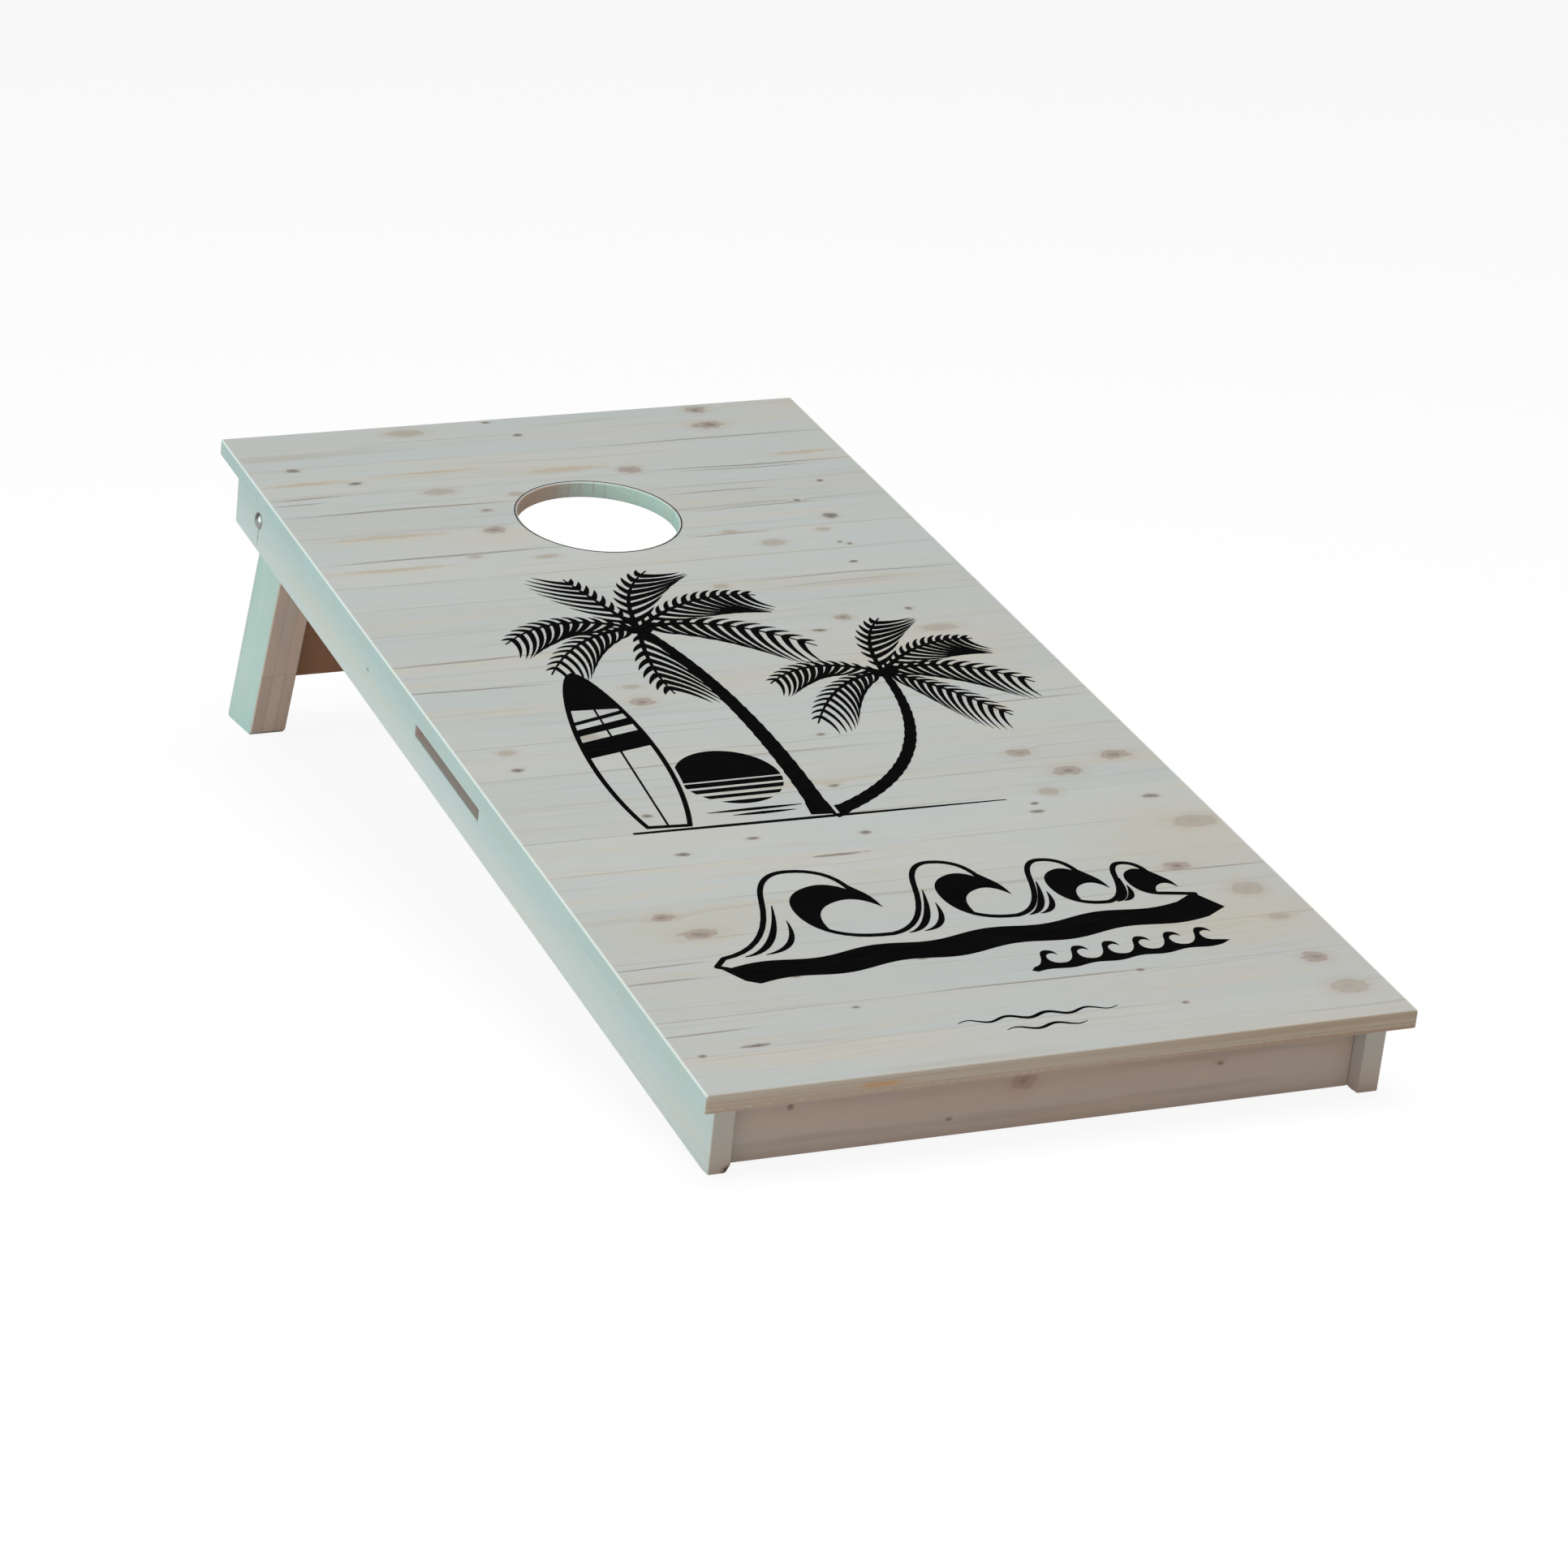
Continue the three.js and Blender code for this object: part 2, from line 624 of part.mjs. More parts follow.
export default model;
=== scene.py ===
"""Looks for the cornhole board: whitewashed spruce, black ink print and zinc-plated hardware.

Everything stands in the row frame, in metres. Patterns on the deck are laid out in deck
millimetres: x across the board, y up the deck from its front edge, z out of the playing surface.
"""

import json
import math
import random

import bmesh
import bpy
from mathutils import Matrix, Vector
from mathutils.geometry import delaunay_2d_cdt


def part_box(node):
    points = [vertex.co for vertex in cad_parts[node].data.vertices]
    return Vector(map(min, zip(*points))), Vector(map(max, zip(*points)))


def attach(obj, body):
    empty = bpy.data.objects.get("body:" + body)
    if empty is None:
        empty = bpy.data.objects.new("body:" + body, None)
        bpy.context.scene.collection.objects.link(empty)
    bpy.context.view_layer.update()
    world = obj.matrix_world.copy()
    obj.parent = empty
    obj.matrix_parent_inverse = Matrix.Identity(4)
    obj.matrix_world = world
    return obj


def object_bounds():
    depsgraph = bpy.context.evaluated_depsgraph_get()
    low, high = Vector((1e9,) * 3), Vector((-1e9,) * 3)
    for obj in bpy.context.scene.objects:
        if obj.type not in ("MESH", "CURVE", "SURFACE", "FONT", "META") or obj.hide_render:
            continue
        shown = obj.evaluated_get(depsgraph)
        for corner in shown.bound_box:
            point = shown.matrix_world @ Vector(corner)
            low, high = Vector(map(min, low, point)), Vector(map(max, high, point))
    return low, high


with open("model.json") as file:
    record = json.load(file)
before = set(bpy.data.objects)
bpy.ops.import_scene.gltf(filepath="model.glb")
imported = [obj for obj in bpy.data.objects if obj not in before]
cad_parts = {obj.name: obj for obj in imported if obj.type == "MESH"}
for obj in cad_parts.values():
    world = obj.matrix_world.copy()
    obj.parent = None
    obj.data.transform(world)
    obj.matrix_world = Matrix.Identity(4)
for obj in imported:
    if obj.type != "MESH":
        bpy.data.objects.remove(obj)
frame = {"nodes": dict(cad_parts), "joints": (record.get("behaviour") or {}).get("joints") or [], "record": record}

cad_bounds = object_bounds()

MM = 0.001
WHITE = (1, 1, 1, 1)
NODES = frame["nodes"]

# ---------- places read from the frame ----------


def deck_placement():
    """The matrix that takes deck coordinates to the row frame, from the deck's top edges."""
    corners = [vertex.co for vertex in NODES["deck"].data.vertices]
    front = min(corners, key=lambda corner: corner.y)
    rear = max(corners, key=lambda corner: corner.z)
    tilt = math.atan2(rear.z - front.z, rear.y - front.y)
    return Matrix.Translation((0, front.y, front.z)) @ Matrix.Rotation(tilt, 4, "X")


DECK = deck_placement()
UP_DECK = DECK.to_3x3() @ Vector((0, 1, 0))
OUT_OF_DECK = DECK.to_3x3() @ Vector((0, 0, 1))
DECK_LENGTH = 1200
DECK_HALF_WIDTH = 300
DECK_UNDERSIDE = -16.3
EDGE_ZONE = 50
LEG_JOINT = next(joint for joint in frame["joints"] if joint["name"] == "leg_fold")


def hole_size():
    """The middle and the radius of the hole's rounded rim on the playing surface."""
    to_deck = DECK.inverted()
    flat = []
    for vertex in NODES["deck"].data.vertices:
        place = to_deck @ vertex.co / MM
        inside = EDGE_ZONE < place.y < DECK_LENGTH - EDGE_ZONE
        if abs(place.z) < 0.05 and inside:
            flat.append(place.y)
    return (min(flat) + max(flat)) / 2, (max(flat) - min(flat)) / 2


HOLE_MIDDLE, HOLE_RADIUS = hole_size()


def row_point(x, y, z=0):
    """A place in deck millimetres, in the row frame."""
    return DECK @ Vector((x * MM, y * MM, z * MM))


# ---------- node trees ----------


class Shader:
    """The node tree of one material, or of the world. Most methods return an output socket."""

    def __init__(self, name, kind="materials"):
        self.owner = getattr(bpy.data, kind).new(name)
        self.owner.use_nodes = True
        self.tree = self.owner.node_tree
        self.tree.nodes.clear()

    def node(self, kind, inputs=None, **settings):
        node = self.tree.nodes.new(kind)
        for name, value in settings.items():
            setattr(node, name, value)
        for name, value in (inputs or {}).items():
            self.feed(node.inputs[name], value)
        return node

    def feed(self, socket, value):
        if isinstance(value, bpy.types.NodeSocket):
            self.tree.links.new(value, socket)
        else:
            socket.default_value = value

    def math(self, operation, *values):
        node = self.node("ShaderNodeMath", operation=operation)
        for socket, value in zip(node.inputs, values):
            self.feed(socket, value)
        return node.outputs[0]

    def vector(self, operation, *values):
        node = self.node("ShaderNodeVectorMath", operation=operation)
        for socket, value in zip(node.inputs, values):
            self.feed(socket, value)
        return node.outputs["Value" if operation in ("LENGTH", "DISTANCE") else "Vector"]

    def split(self, vector):
        return self.node("ShaderNodeSeparateXYZ", {"Vector": vector}).outputs

    def join(self, x, y, z):
        return self.node("ShaderNodeCombineXYZ", {"X": x, "Y": y, "Z": z}).outputs[0]

    def minus(self, first, second):
        return self.math("SUBTRACT", first, second)

    def absolute(self, value):
        return self.math("ABSOLUTE", value)

    def length(self, vector):
        return self.vector("LENGTH", vector)

    def product(self, first, *others):
        for value in others:
            first = self.math("MULTIPLY", first, value)
        return first

    def object_space(self):
        return self.node("ShaderNodeTexCoord").outputs["Object"]

    def noise(self, vector, stretch, detail=2, roughness=0.5):
        """Noise from 0 to 1 whose grains are about stretch long in each direction."""
        scaled = self.vector("DIVIDE", vector, stretch)
        inputs = {"Vector": scaled, "Scale": 1, "Detail": detail, "Roughness": roughness}
        return self.node("ShaderNodeTexNoise", inputs).outputs[0]

    def fade(self, value, low, high, start=0, end=1):
        """Runs smoothly from start, at low, to end, at high."""
        inputs = {"Value": value, "From Min": low, "From Max": high, "To Min": start, "To Max": end}
        return self.node("ShaderNodeMapRange", inputs, interpolation_type="SMOOTHSTEP").outputs[0]

    def blend(self, factor, first, second, mode="MIX"):
        node = self.node("ShaderNodeMix", data_type="RGBA", blend_type=mode)
        self.feed(node.inputs[0], factor)
        self.feed(node.inputs[6], rgba(first))
        self.feed(node.inputs[7], rgba(second))
        return node.outputs[2]

    def tint(self, color, tint):
        """Multiplies a colour by another."""
        return self.blend(1, color, tint, "MULTIPLY")

    def shade(self, color, light):
        """Multiplies a colour by a grey value."""
        return self.tint(color, self.join(light, light, light))

    def finish(self, color, roughness, height=None, lift=0.0002, **settings):
        inputs = {"Base Color": color, "Roughness": roughness}
        if height is not None:
            bump = self.node("ShaderNodeBump", {"Height": height, "Distance": lift, "Strength": 1})
            inputs["Normal"] = bump.outputs[0]
        for name, value in settings.items():
            inputs[name.replace("_", " ")] = value
        surface = self.node("ShaderNodeBsdfPrincipled", inputs)
        self.node("ShaderNodeOutputMaterial", {"Surface": surface.outputs[0]})
        return self.owner

    def mix(self, factor, first, second):
        """Mixes two kinds of surface or background."""
        node = self.node("ShaderNodeMixShader", {"Fac": factor})
        for socket, source in zip(node.inputs[1:], (first, second)):
            self.feed(socket, source)
        return node.outputs[0]

    def for_camera(self, lit, seen):
        """Shows seen to the camera, while everything else is lit by lit."""
        path = self.node("ShaderNodeLightPath")
        return self.mix(path.outputs["Is Camera Ray"], lit, seen)


def rgba(color):
    """Leaves sockets alone and gives plain colours their alpha."""
    return color if isinstance(color, bpy.types.NodeSocket) else (*color, 1)


# ---------- timber ----------

WHITEWASH = (0.508, 0.533, 0.514)
WASH_COOL = (0.485, 0.535, 0.53)
WASH_WARM = (0.525, 0.52, 0.462)
PAINTED_EDGE_HIGHLIGHT = (0.74, 0.78, 0.75)
BEIGE_GRAIN = (0.415, 0.385, 0.29)
BROWN_GRAIN = (0.27, 0.23, 0.175)
# A painted highlight along the deck's eased top edges.
GLUE_LINE = (0.235, 0.2, 0.165)
KNOT_HALO = (0.44, 0.39, 0.31)
KNOT_WOOD = (0.31, 0.245, 0.21)
KNOT_BEIGE = (0.35, 0.31, 0.25)
KNOT_DARK = (0.1, 0.082, 0.074)
RESIN = (0.455, 0.38, 0.262)
YELLOWED = (0.515, 0.495, 0.405)
RESIN_POCKET = (0.5, 0.27, 0.08)
EDGE_WOOD = (0.4, 0.33, 0.24)
EDGE_WASH = (0.46, 0.44, 0.36)
BROWN_WOOD = (0.33, 0.205, 0.13)
BORING_MARK = (0.4, 0.21, 0.15)
# The thin dark line under the left bolt head.
BOLT_LINE_DARK = (0.1, 0.085, 0.075)
SOIL = (0.03, 0.02, 0.012)

# How far the grain strays sideways from a straight line, in millimetres.
GRAIN_WANDER = 26

# A distance from a knot, in its own radii, at which it no longer shows.
OUT_OF_REACH = 9


def timber_space(wood, origin, grain, across):
    """Object coordinates as millimetres along the grain, across it, and through the board."""
    along = Vector(grain).normalized()
    side = Vector(across).normalized()
    axes = Matrix((along, side, along.cross(side))).transposed()
    inputs = {"Vector": wood.object_space(), "Location": origin, "Rotation": axes.to_euler(),
              "Scale": (MM, MM, MM)}
    return wood.node("ShaderNodeMapping", inputs, vector_type="TEXTURE").outputs[0]


def ripple(wood, space, stretch, height):
    """Wavers around 0 by about height, so that a knot's outline is uneven."""
    noise = wood.noise(space, stretch, detail=3)
    return wood.product(wood.minus(noise, 0.5), height)


def nearest_knot(wood, space, knots, uneven):
    """How far a point is from the nearest knot, where 1 is that knot's edge."""
    nearest = OUT_OF_REACH
    for x, y, length, width in knots:
        from_middle = wood.vector("SUBTRACT", space, (x, y, 0))
        scaled = wood.vector("MULTIPLY", from_middle, (1 / length, 1 / width, 0.012))
        nearest = wood.math("MINIMUM", nearest, wood.length(scaled))
    return wood.math("ADD", nearest, uneven)


def grain_marks(wood, space, heart, seed, distance=None):
    """Masks of the fine grain lines, the soft rings, the beige streaks and the fibres of a board.

    Rings lie around a heart line that runs along the grain, so that flat faces show long
    lines and cathedrals while end grain shows arcs. They bend round a knot, whose distance is
    given in its own radii.
    """
    moved = wood.vector("ADD", space, seed)
    drift = wood.noise(moved, (230, 46, 60), detail=2.5)
    along, across, through = wood.split(space)
    shift = wood.product(wood.minus(drift, 0.5), GRAIN_WANDER)
    if distance is not None:
        around = wood.fade(distance, 0.6, 3.4, 5, 0)
        shift = wood.math("ADD", shift, around)
    heart_across, heart_depth = heart
    sideways = wood.minus(wood.math("ADD", across, shift), heart_across)
    inward = wood.minus(through, heart_depth)
    radius = wood.length(wood.join(sideways, inward, 0))
    rolled = wood.join(radius, wood.split(moved)[0], 0)
    rings = wood.noise(rolled, (2.8, 1300, 1), detail=1)
    streaks = wood.noise(rolled, (6.5, 320, 1), detail=2)
    bare = wood.noise(moved, (260, 34, 40), detail=1.5)
    lines = wood.product(wood.fade(rings, 0.58, 0.7), wood.fade(bare, 0.42, 0.66))
    return {
        "lines": lines,
        "rings": wood.fade(rings, 0.35, 0.7),
        "streaks": wood.fade(streaks, 0.62, 0.8),
        "fibres": wood.noise(moved, (38, 0.8, 0.8), detail=3, roughness=0.6),
    }


def whitewashed(wood, space, marks, seed, show=1):
    """The stained wood before knots and glue lines; show scales how far the grain shows through."""
    moved = wood.vector("ADD", space, seed)
    patches = wood.noise(moved, (260, 90, 90), detail=2)
    color = wood.blend(wood.fade(patches, 0.35, 0.62), WASH_COOL, WHITEWASH)
    warm = wood.noise(moved, (420, 30, 50), detail=2)
    color = wood.blend(wood.fade(warm, 0.5, 0.72, 0, 0.75), color, WASH_WARM)
    for mark, tint, strength in (
        ("rings", BEIGE_GRAIN, 0.08), ("streaks", BEIGE_GRAIN, 0.5), ("lines", BROWN_GRAIN, 0.32),
    ):
        amount = wood.product(marks[mark], strength, show)
        color = wood.blend(amount, color, tint)
    return wood.shade(color, wood.fade(marks["fibres"], 0.25, 0.75, 0.965, 1.03))


def wood_surface(wood, color, marks, grooves=None):
    """A thin satin whitewash over planed wood, raised a little along the grain."""
    height = wood.math("MULTIPLY_ADD", marks["fibres"], 0.35, marks["rings"])
    if grooves is not None:
        height = wood.minus(height, grooves)
    roughness = wood.fade(marks["fibres"], 0.2, 0.8, 0.5, 0.66)
    return wood.finish(color, roughness, height, 0.00006, Specular_IOR_Level=0.35)


def add_knots(wood, color, distance, core, strength, eye_strength=0.28):
    """Knots: a wide beige halo, an even brown body with a darker rim, and a small eye."""
    halo = wood.fade(distance, 0.9, 2.1, 0.3, 0)
    color = wood.blend(halo, color, KNOT_HALO)
    body = wood.fade(distance, 0.72, 1.06, strength, 0)
    color = wood.blend(body, color, core)
    rim = wood.product(wood.fade(distance, 0.62, 0.9), body, 0.25)
    color = wood.blend(rim, color, KNOT_DARK)
    eye = wood.fade(distance, 0, 0.6, eye_strength, 0)
    return wood.blend(eye, color, KNOT_DARK)


# Seams between the deck's glued staves, up the deck from the front edge.
STAVE_SEAMS = (
    48, 103, 157, 214, 268, 326, 384, 438, 492, 546, 598,
    652, 706, 760, 812, 862, 912, 962, 1014, 1054, 1116, 1162,
)

# Knots in the deck: across, up the deck, half length along the grain, half width.
BROWN_KNOTS = (
    (-230, 253, 11, 6), (-211, 223, 17, 8), (-105, 604, 12, 8), (191, 1187, 12, 8),
    (189, 1150, 17, 9), (71, 1063, 12, 8), (182, 454, 12, 7), (209, 416, 15, 8),
    (264, 435, 15, 8), (222, 247, 13, 7), (261, 91, 12, 8), (-101, 1000, 7, 3.5),
    (142, 726, 9, 6), (-108, 958, 12, 7),
)
BEIGE_KNOTS = (
    (262, 202, 15, 11), (265, 45, 17, 11), (266, 155, 10, 5), (275, 314, 22, 11),
    (143, 885, 13, 7), (111, 914, 8, 4), (-118, 1182, 20, 8), (-131, 1047, 16, 7),
    (176, 385, 10, 7), (-255, 538, 9, 5), (-176, 553, 11, 8), (221, 691, 20, 7),
    (200, 534, 8, 5), (56, 806, 8, 5), (-147, 906, 7, 4), (-80, 895, 12, 4),
    (-59, 1030, 8, 5), (202, 904, 8, 4), (-103, 633, 9, 4),
)
DARK_KNOTS = (
    (-255, 1117, 7, 4), (-204, 1079, 7, 3.5), (222, 931, 8, 6.5), (-257, 507, 6, 3.5),
    (259, 361, 8, 3.5), (150, 355, 7, 3), (154, 368, 4, 2.5), (-163, 148, 5, 3),
    (-9, 1159, 6, 3), (-30, 1193, 5, 2.5), (214, 870, 3.5, 3), (206, 875, 3, 2.5),
    (201, 833, 5, 2.5), (204, 969, 4, 3), (245, 1007, 4, 2.5), (112, 101, 4, 2.5),
    (-234, 59, 12, 2.2), (-281, 53, 4, 2.5), (210, 732, 4.5, 3.5), (199, 710, 6, 3),
    (109, 705, 7, 3), (26, 518, 5, 2.5), (-2, 430, 6, 3), (-179, 411, 6, 3),
    (-107, 359, 6, 2.5), (-10, 350, 6, 3), (-47, 320, 24, 2), (-175, 345, 7, 3),
    (-52, 153, 5, 2.5), (58, 122, 5, 2.5), (123, 49, 3.5, 2), (-136, 95, 4, 2),
)

# Each kind of knot: its colour, how dark its body and its eye are, and how uneven its outline is.
DECK_KNOTS = (
    (BROWN_KNOTS, KNOT_WOOD, 0.6, 0.5, 1),
    (BEIGE_KNOTS, KNOT_BEIGE, 0.48, 0.1, 0.45),
    (DARK_KNOTS, KNOT_DARK, 0.55, 0.7, 1),
)

# Resin-stained streaks: across, up the deck, half length, half width.
RESIN_STREAKS = (
    (6, 1075, 46, 6.5), (256, 1073, 44, 4.5), (-250, 1085, 46, 4.5), (-124, 1091, 58, 3),
    (-232, 893, 66, 4), (-215, 960, 76, 5),
)

# Wide, faintly yellowed areas: across, up the deck, half length, half width.
WARM_PATCHES = ((240, 290, 110, 80), (228, 160, 110, 50), (-215, 236, 100, 40), (190, 640, 120, 60))

# Thin dark lines where a glue joint or a ring shows through the wash.
GRAIN_LINES = (
    (-180, 1015, 122, 1.6), (-172, 911, 128, 1.6), (188, 1056, 106, 1.4), (186, 1050, 80, 1),
    (140, 1001, 60, 1.2), (169, 1120, 122, 1.3), (110, 910, 50, 1.2), (-262, 1053, 38, 1.3),
    (-274, 1042, 30, 1.1), (160, 963, 76, 1), (-230, 706, 90, 1.5), (-250, 652, 80, 1.4),
    (190, 812, 130, 1.1), (25, 103, 110, 1.2), (240, 240, 70, 1.1), (-60, 492, 150, 0.9),
    (230, 545, 70, 1), (-266, 182, 50, 1), (-270, 160, 40, 1), (-268, 84, 46, 1),
)

# The resin pocket that shows in the deck's front edge: across, depth, half length, half height.
FRONT_RESIN = (-157, 7.5, 24, 2.6)


def stave_table(wood, height, stops):
    """Looks up a stave by its height up the deck."""
    share = wood.math("DIVIDE", height, DECK_LENGTH)
    node = wood.node("ShaderNodeValToRGB", {"Fac": share})
    ramp = node.color_ramp
    ramp.interpolation = "CONSTANT"
    for place, color in stops:
        stop = ramp.elements[0] if place == 0 else ramp.elements.new(place)
        stop.color = color
    ramp.elements.remove(ramp.elements[-1])
    return node.outputs[0]


def stave_stops():
    """One stop for each stave: where its heart lies, how deep that is, and its own number."""
    draw = random.Random(7)
    stops = []
    edges = (0, *STAVE_SEAMS, DECK_LENGTH)
    for low, high in zip(edges, edges[1:]):
        heart = (low + high) / 2 + draw.uniform(-55, 55)
        color = (heart / DECK_LENGTH, draw.random(), draw.random(), 1)
        stops.append((low / DECK_LENGTH, color))
    return stops


def stave_seams(wood, across, stops):
    """A mask of the glue lines, found by looking just above and just below each place."""
    above = stave_table(wood, wood.math("ADD", across, 0.5), stops)
    below = stave_table(wood, wood.minus(across, 0.5), stops)
    return wood.math("GREATER_THAN", wood.vector("DISTANCE", above, below), 0.001)


def front_edge(wood, color, space):
    """The sawn front edge is painted browner than the top, as painted warm shade on a front face; it shows thin
    layers, is torn along its lower side, and is darker and warmer towards the right.
    """
    along, across, through = wood.split(space)
    cut_face = wood.fade(across, 0.4, 1.4, 1, 0)
    layers = wood.noise(space, (420, 400, 1.6), detail=2)
    sawn = wood.blend(wood.fade(layers, 0.38, 0.62), EDGE_WOOD, EDGE_WASH)
    middle, depth, half_length, half_height = FRONT_RESIN
    from_pocket = wood.vector("SUBTRACT", space, (middle, 0, -depth))
    scaled = wood.vector("MULTIPLY", from_pocket, (1 / half_length, 0, 1 / half_height))
    wander = wood.noise(space, (9, 9, 3), detail=3)
    pocket = wood.math("ADD", wood.length(scaled), wander)
    sawn = wood.blend(wood.fade(pocket, 0.9, 1.7, 0.85, 0), sawn, RESIN_POCKET)
    torn = wood.noise(space, (7, 50, 50), detail=4, roughness=0.7)
    torn_height = wood.math("MULTIPLY_ADD", torn, 10, -17.6)
    below_tear = wood.math("LESS_THAN", through, torn_height)
    sawn = wood.blend(wood.product(below_tear, 0.5), sawn, BROWN_WOOD)
    to_the_right = wood.fade(along, 60, 220)
    sawn = wood.tint(sawn, wood.blend(to_the_right, (1, 1, 1), (0.92, 0.88, 0.8)))
    # Painted warm shade: the front face takes the browner colour.
    return wood.blend(wood.product(cut_face, 0.85), color, sawn)


def hole_wall(wood, color, space):
    """The bored wall of the target hole, with painted light: tinted warm on its left as painted warm shade, and
    pale mint on its right as painted mint light from the left.
    """
    along, across, through = wood.split(space)
    outward = wood.join(along, wood.minus(across, HOLE_MIDDLE), 0)
    distance = wood.length(outward)
    inside = wood.fade(distance, HOLE_RADIUS - 1.2, HOLE_RADIUS - 0.6, 1, 0)
    # Painted light: warm on the wall's left half, pale mint on its right half.
    warm, pale = (1.03, 0.76, 0.62), (1.03, 1.3, 1.22)
    wall = wood.tint(color, wood.blend(wood.fade(along, -34, 26), warm, pale))
    ticks = wood.noise(space, (3.2, 60, 90), detail=1)
    aside = wood.absolute(wood.minus(along, 8))
    tick_zone = wood.fade(aside, 12, 34, 1, 0)
    tick = wood.product(wood.fade(ticks, 0.62, 0.7, 0, 0.6), tick_zone)
    wall = wood.blend(tick, wall, BORING_MARK)
    return wood.blend(inside, color, wall)


def deck_sides(wood, color, space):
    """Painted shade: the deck's side faces are tinted a little darker and greener. Painted highlight: a pale line
    along their eased top edges.
    """
    along, across, through = wood.split(space)
    aside = wood.absolute(along)
    side = wood.fade(aside, DECK_HALF_WIDTH - 0.6, DECK_HALF_WIDTH - 0.2)
    color = wood.blend(side, color, wood.tint(color, (0.85, 0.94, 0.935)))
    near_side = wood.fade(aside, DECK_HALF_WIDTH - 2, DECK_HALF_WIDTH - 0.9)
    near_top = wood.fade(through, -2.2, -0.9)
    return wood.blend(wood.product(near_side, near_top, 0.7), color, PAINTED_EDGE_HIGHLIGHT)


def deck_stains(wood, color, space, uneven):
    """Faintly yellowed areas, and streaks of resin."""
    warm = nearest_knot(wood, space, WARM_PATCHES, uneven)
    color = wood.blend(wood.fade(warm, 0.2, 1.2, 0.5, 0), color, YELLOWED)
    resin = nearest_knot(wood, space, RESIN_STREAKS, uneven)
    return wood.blend(wood.fade(resin, 0.3, 1.2, 0.66, 0), color, RESIN)


def glue_lines(wood, space, across, stops, shown):
    """A mask of the glue lines between the staves, patchy where the wash fills them."""
    seam = stave_seams(wood, across, stops)
    patchy = wood.noise(space, (170, 40, 400), detail=1)
    return wood.product(seam, wood.fade(patchy, 0.35, 0.7, 0.05, 0.48), shown)


def dark_lines(wood, space, shown):
    """A mask of the thin dark lines, which sway a little along their length."""
    sway = wood.noise(space, (230, 90, 400), detail=1)
    swayed = wood.join(0, wood.math("MULTIPLY_ADD", sway, 16, -8), 0)
    line = nearest_knot(wood, wood.vector("ADD", space, swayed), GRAIN_LINES, 0)
    return wood.product(wood.fade(line, 0.5, 1.2, 0.74, 0), shown)


def deck_material():
    wood = Shader("whitewashed_deck")
    space = timber_space(wood, row_point(0, 0), (1, 0, 0), UP_DECK)
    along, across, through = wood.split(space)
    stops = stave_stops()
    heart_share, depth_share, number = wood.split(stave_table(wood, across, stops))
    heart = (wood.product(heart_share, DECK_LENGTH),
             wood.math("MULTIPLY_ADD", depth_share, -70, -14))
    seed = wood.join(wood.product(number, 7000), 0, 0)
    uneven = ripple(wood, space, (11, 6, 30), 1.3)
    nearest = OUT_OF_REACH
    distances = []
    for knots, _, _, _, unevenness in DECK_KNOTS:
        distance = nearest_knot(wood, space, knots, wood.product(uneven, unevenness))
        distances.append(distance)
        nearest = wood.math("MINIMUM", nearest, distance)
    marks = grain_marks(wood, space, heart, seed, distance=nearest)
    aside = wood.absolute(along)
    grain_shown = wood.fade(aside, DECK_HALF_WIDTH - 1.4, DECK_HALF_WIDTH - 0.4, 1, 0.2)
    color = whitewashed(wood, space, marks, seed, grain_shown)
    color = wood.shade(color, wood.fade(number, 0, 1, 0.98, 1.02))
    color = deck_stains(wood, color, space, uneven)
    seam = glue_lines(wood, space, across, stops, grain_shown)
    color = wood.blend(seam, color, GLUE_LINE)
    color = wood.blend(dark_lines(wood, space, grain_shown), color, GLUE_LINE)
    for distance, (_, core, strength, eye_strength, _) in zip(distances, DECK_KNOTS):
        color = add_knots(wood, color, distance, core, strength, eye_strength)
    color = hole_wall(wood, color, space)
    color = front_edge(wood, color, space)
    color = deck_sides(wood, color, space)
    return wood_surface(wood, color, marks, seam)


def board_material(name, origin, grain, across, heart, seed, knots=(), dark_knots=(),
                   tint=(1, 1, 1), show=0.5, marks_on_top=None):
    """Whitewashed timber of one board, with its own grain and a few small knots."""
    wood = Shader(name)
    space = timber_space(wood, origin, grain, across)
    uneven = ripple(wood, space, (12, 5, 30), 1.1)
    pale = nearest_knot(wood, space, knots, uneven)
    dark = nearest_knot(wood, space, dark_knots, uneven)
    nearest = wood.math("MINIMUM", pale, dark)
    marks = grain_marks(wood, space, heart, seed, distance=nearest)
    color = whitewashed(wood, space, marks, seed, show)
    color = add_knots(wood, color, pale, KNOT_WOOD, 0.4)
    color = add_knots(wood, color, dark, KNOT_DARK, 0.5)
    color = wood.tint(color, tint)
    if marks_on_top is not None:
        color = marks_on_top(wood, color, space)
    return wood_surface(wood, color, marks)


# Places on a rail: up the deck from the deck's front edge, and away from the deck's underside.
RAIL_FRONT = 15
RAIL_FOOT = -65
RAIL_THICKNESS = 18
RAIL_OUTSIDE = 285
SLOT_MIDDLE = 596
SLOT_DROP = -29
SLOT_HALF_LENGTH = 80.5
SLOT_HALF_HEIGHT = 7.2
BOLT_HEAD_RADIUS = 7.5


def apron_painted_light(wood, color, space):
    """Painted shade: browner just under the deck. Painted light: paler towards the lower edge."""
    along, across, through = wood.split(space)
    lower_down = wood.fade(across, -64, -12, 1, 0)
    # Painted shade at the top, painted light at the bottom.
    return wood.tint(color, wood.blend(lower_down, (0.92, 0.83, 0.8), (1.24, 1.32, 1.36)))


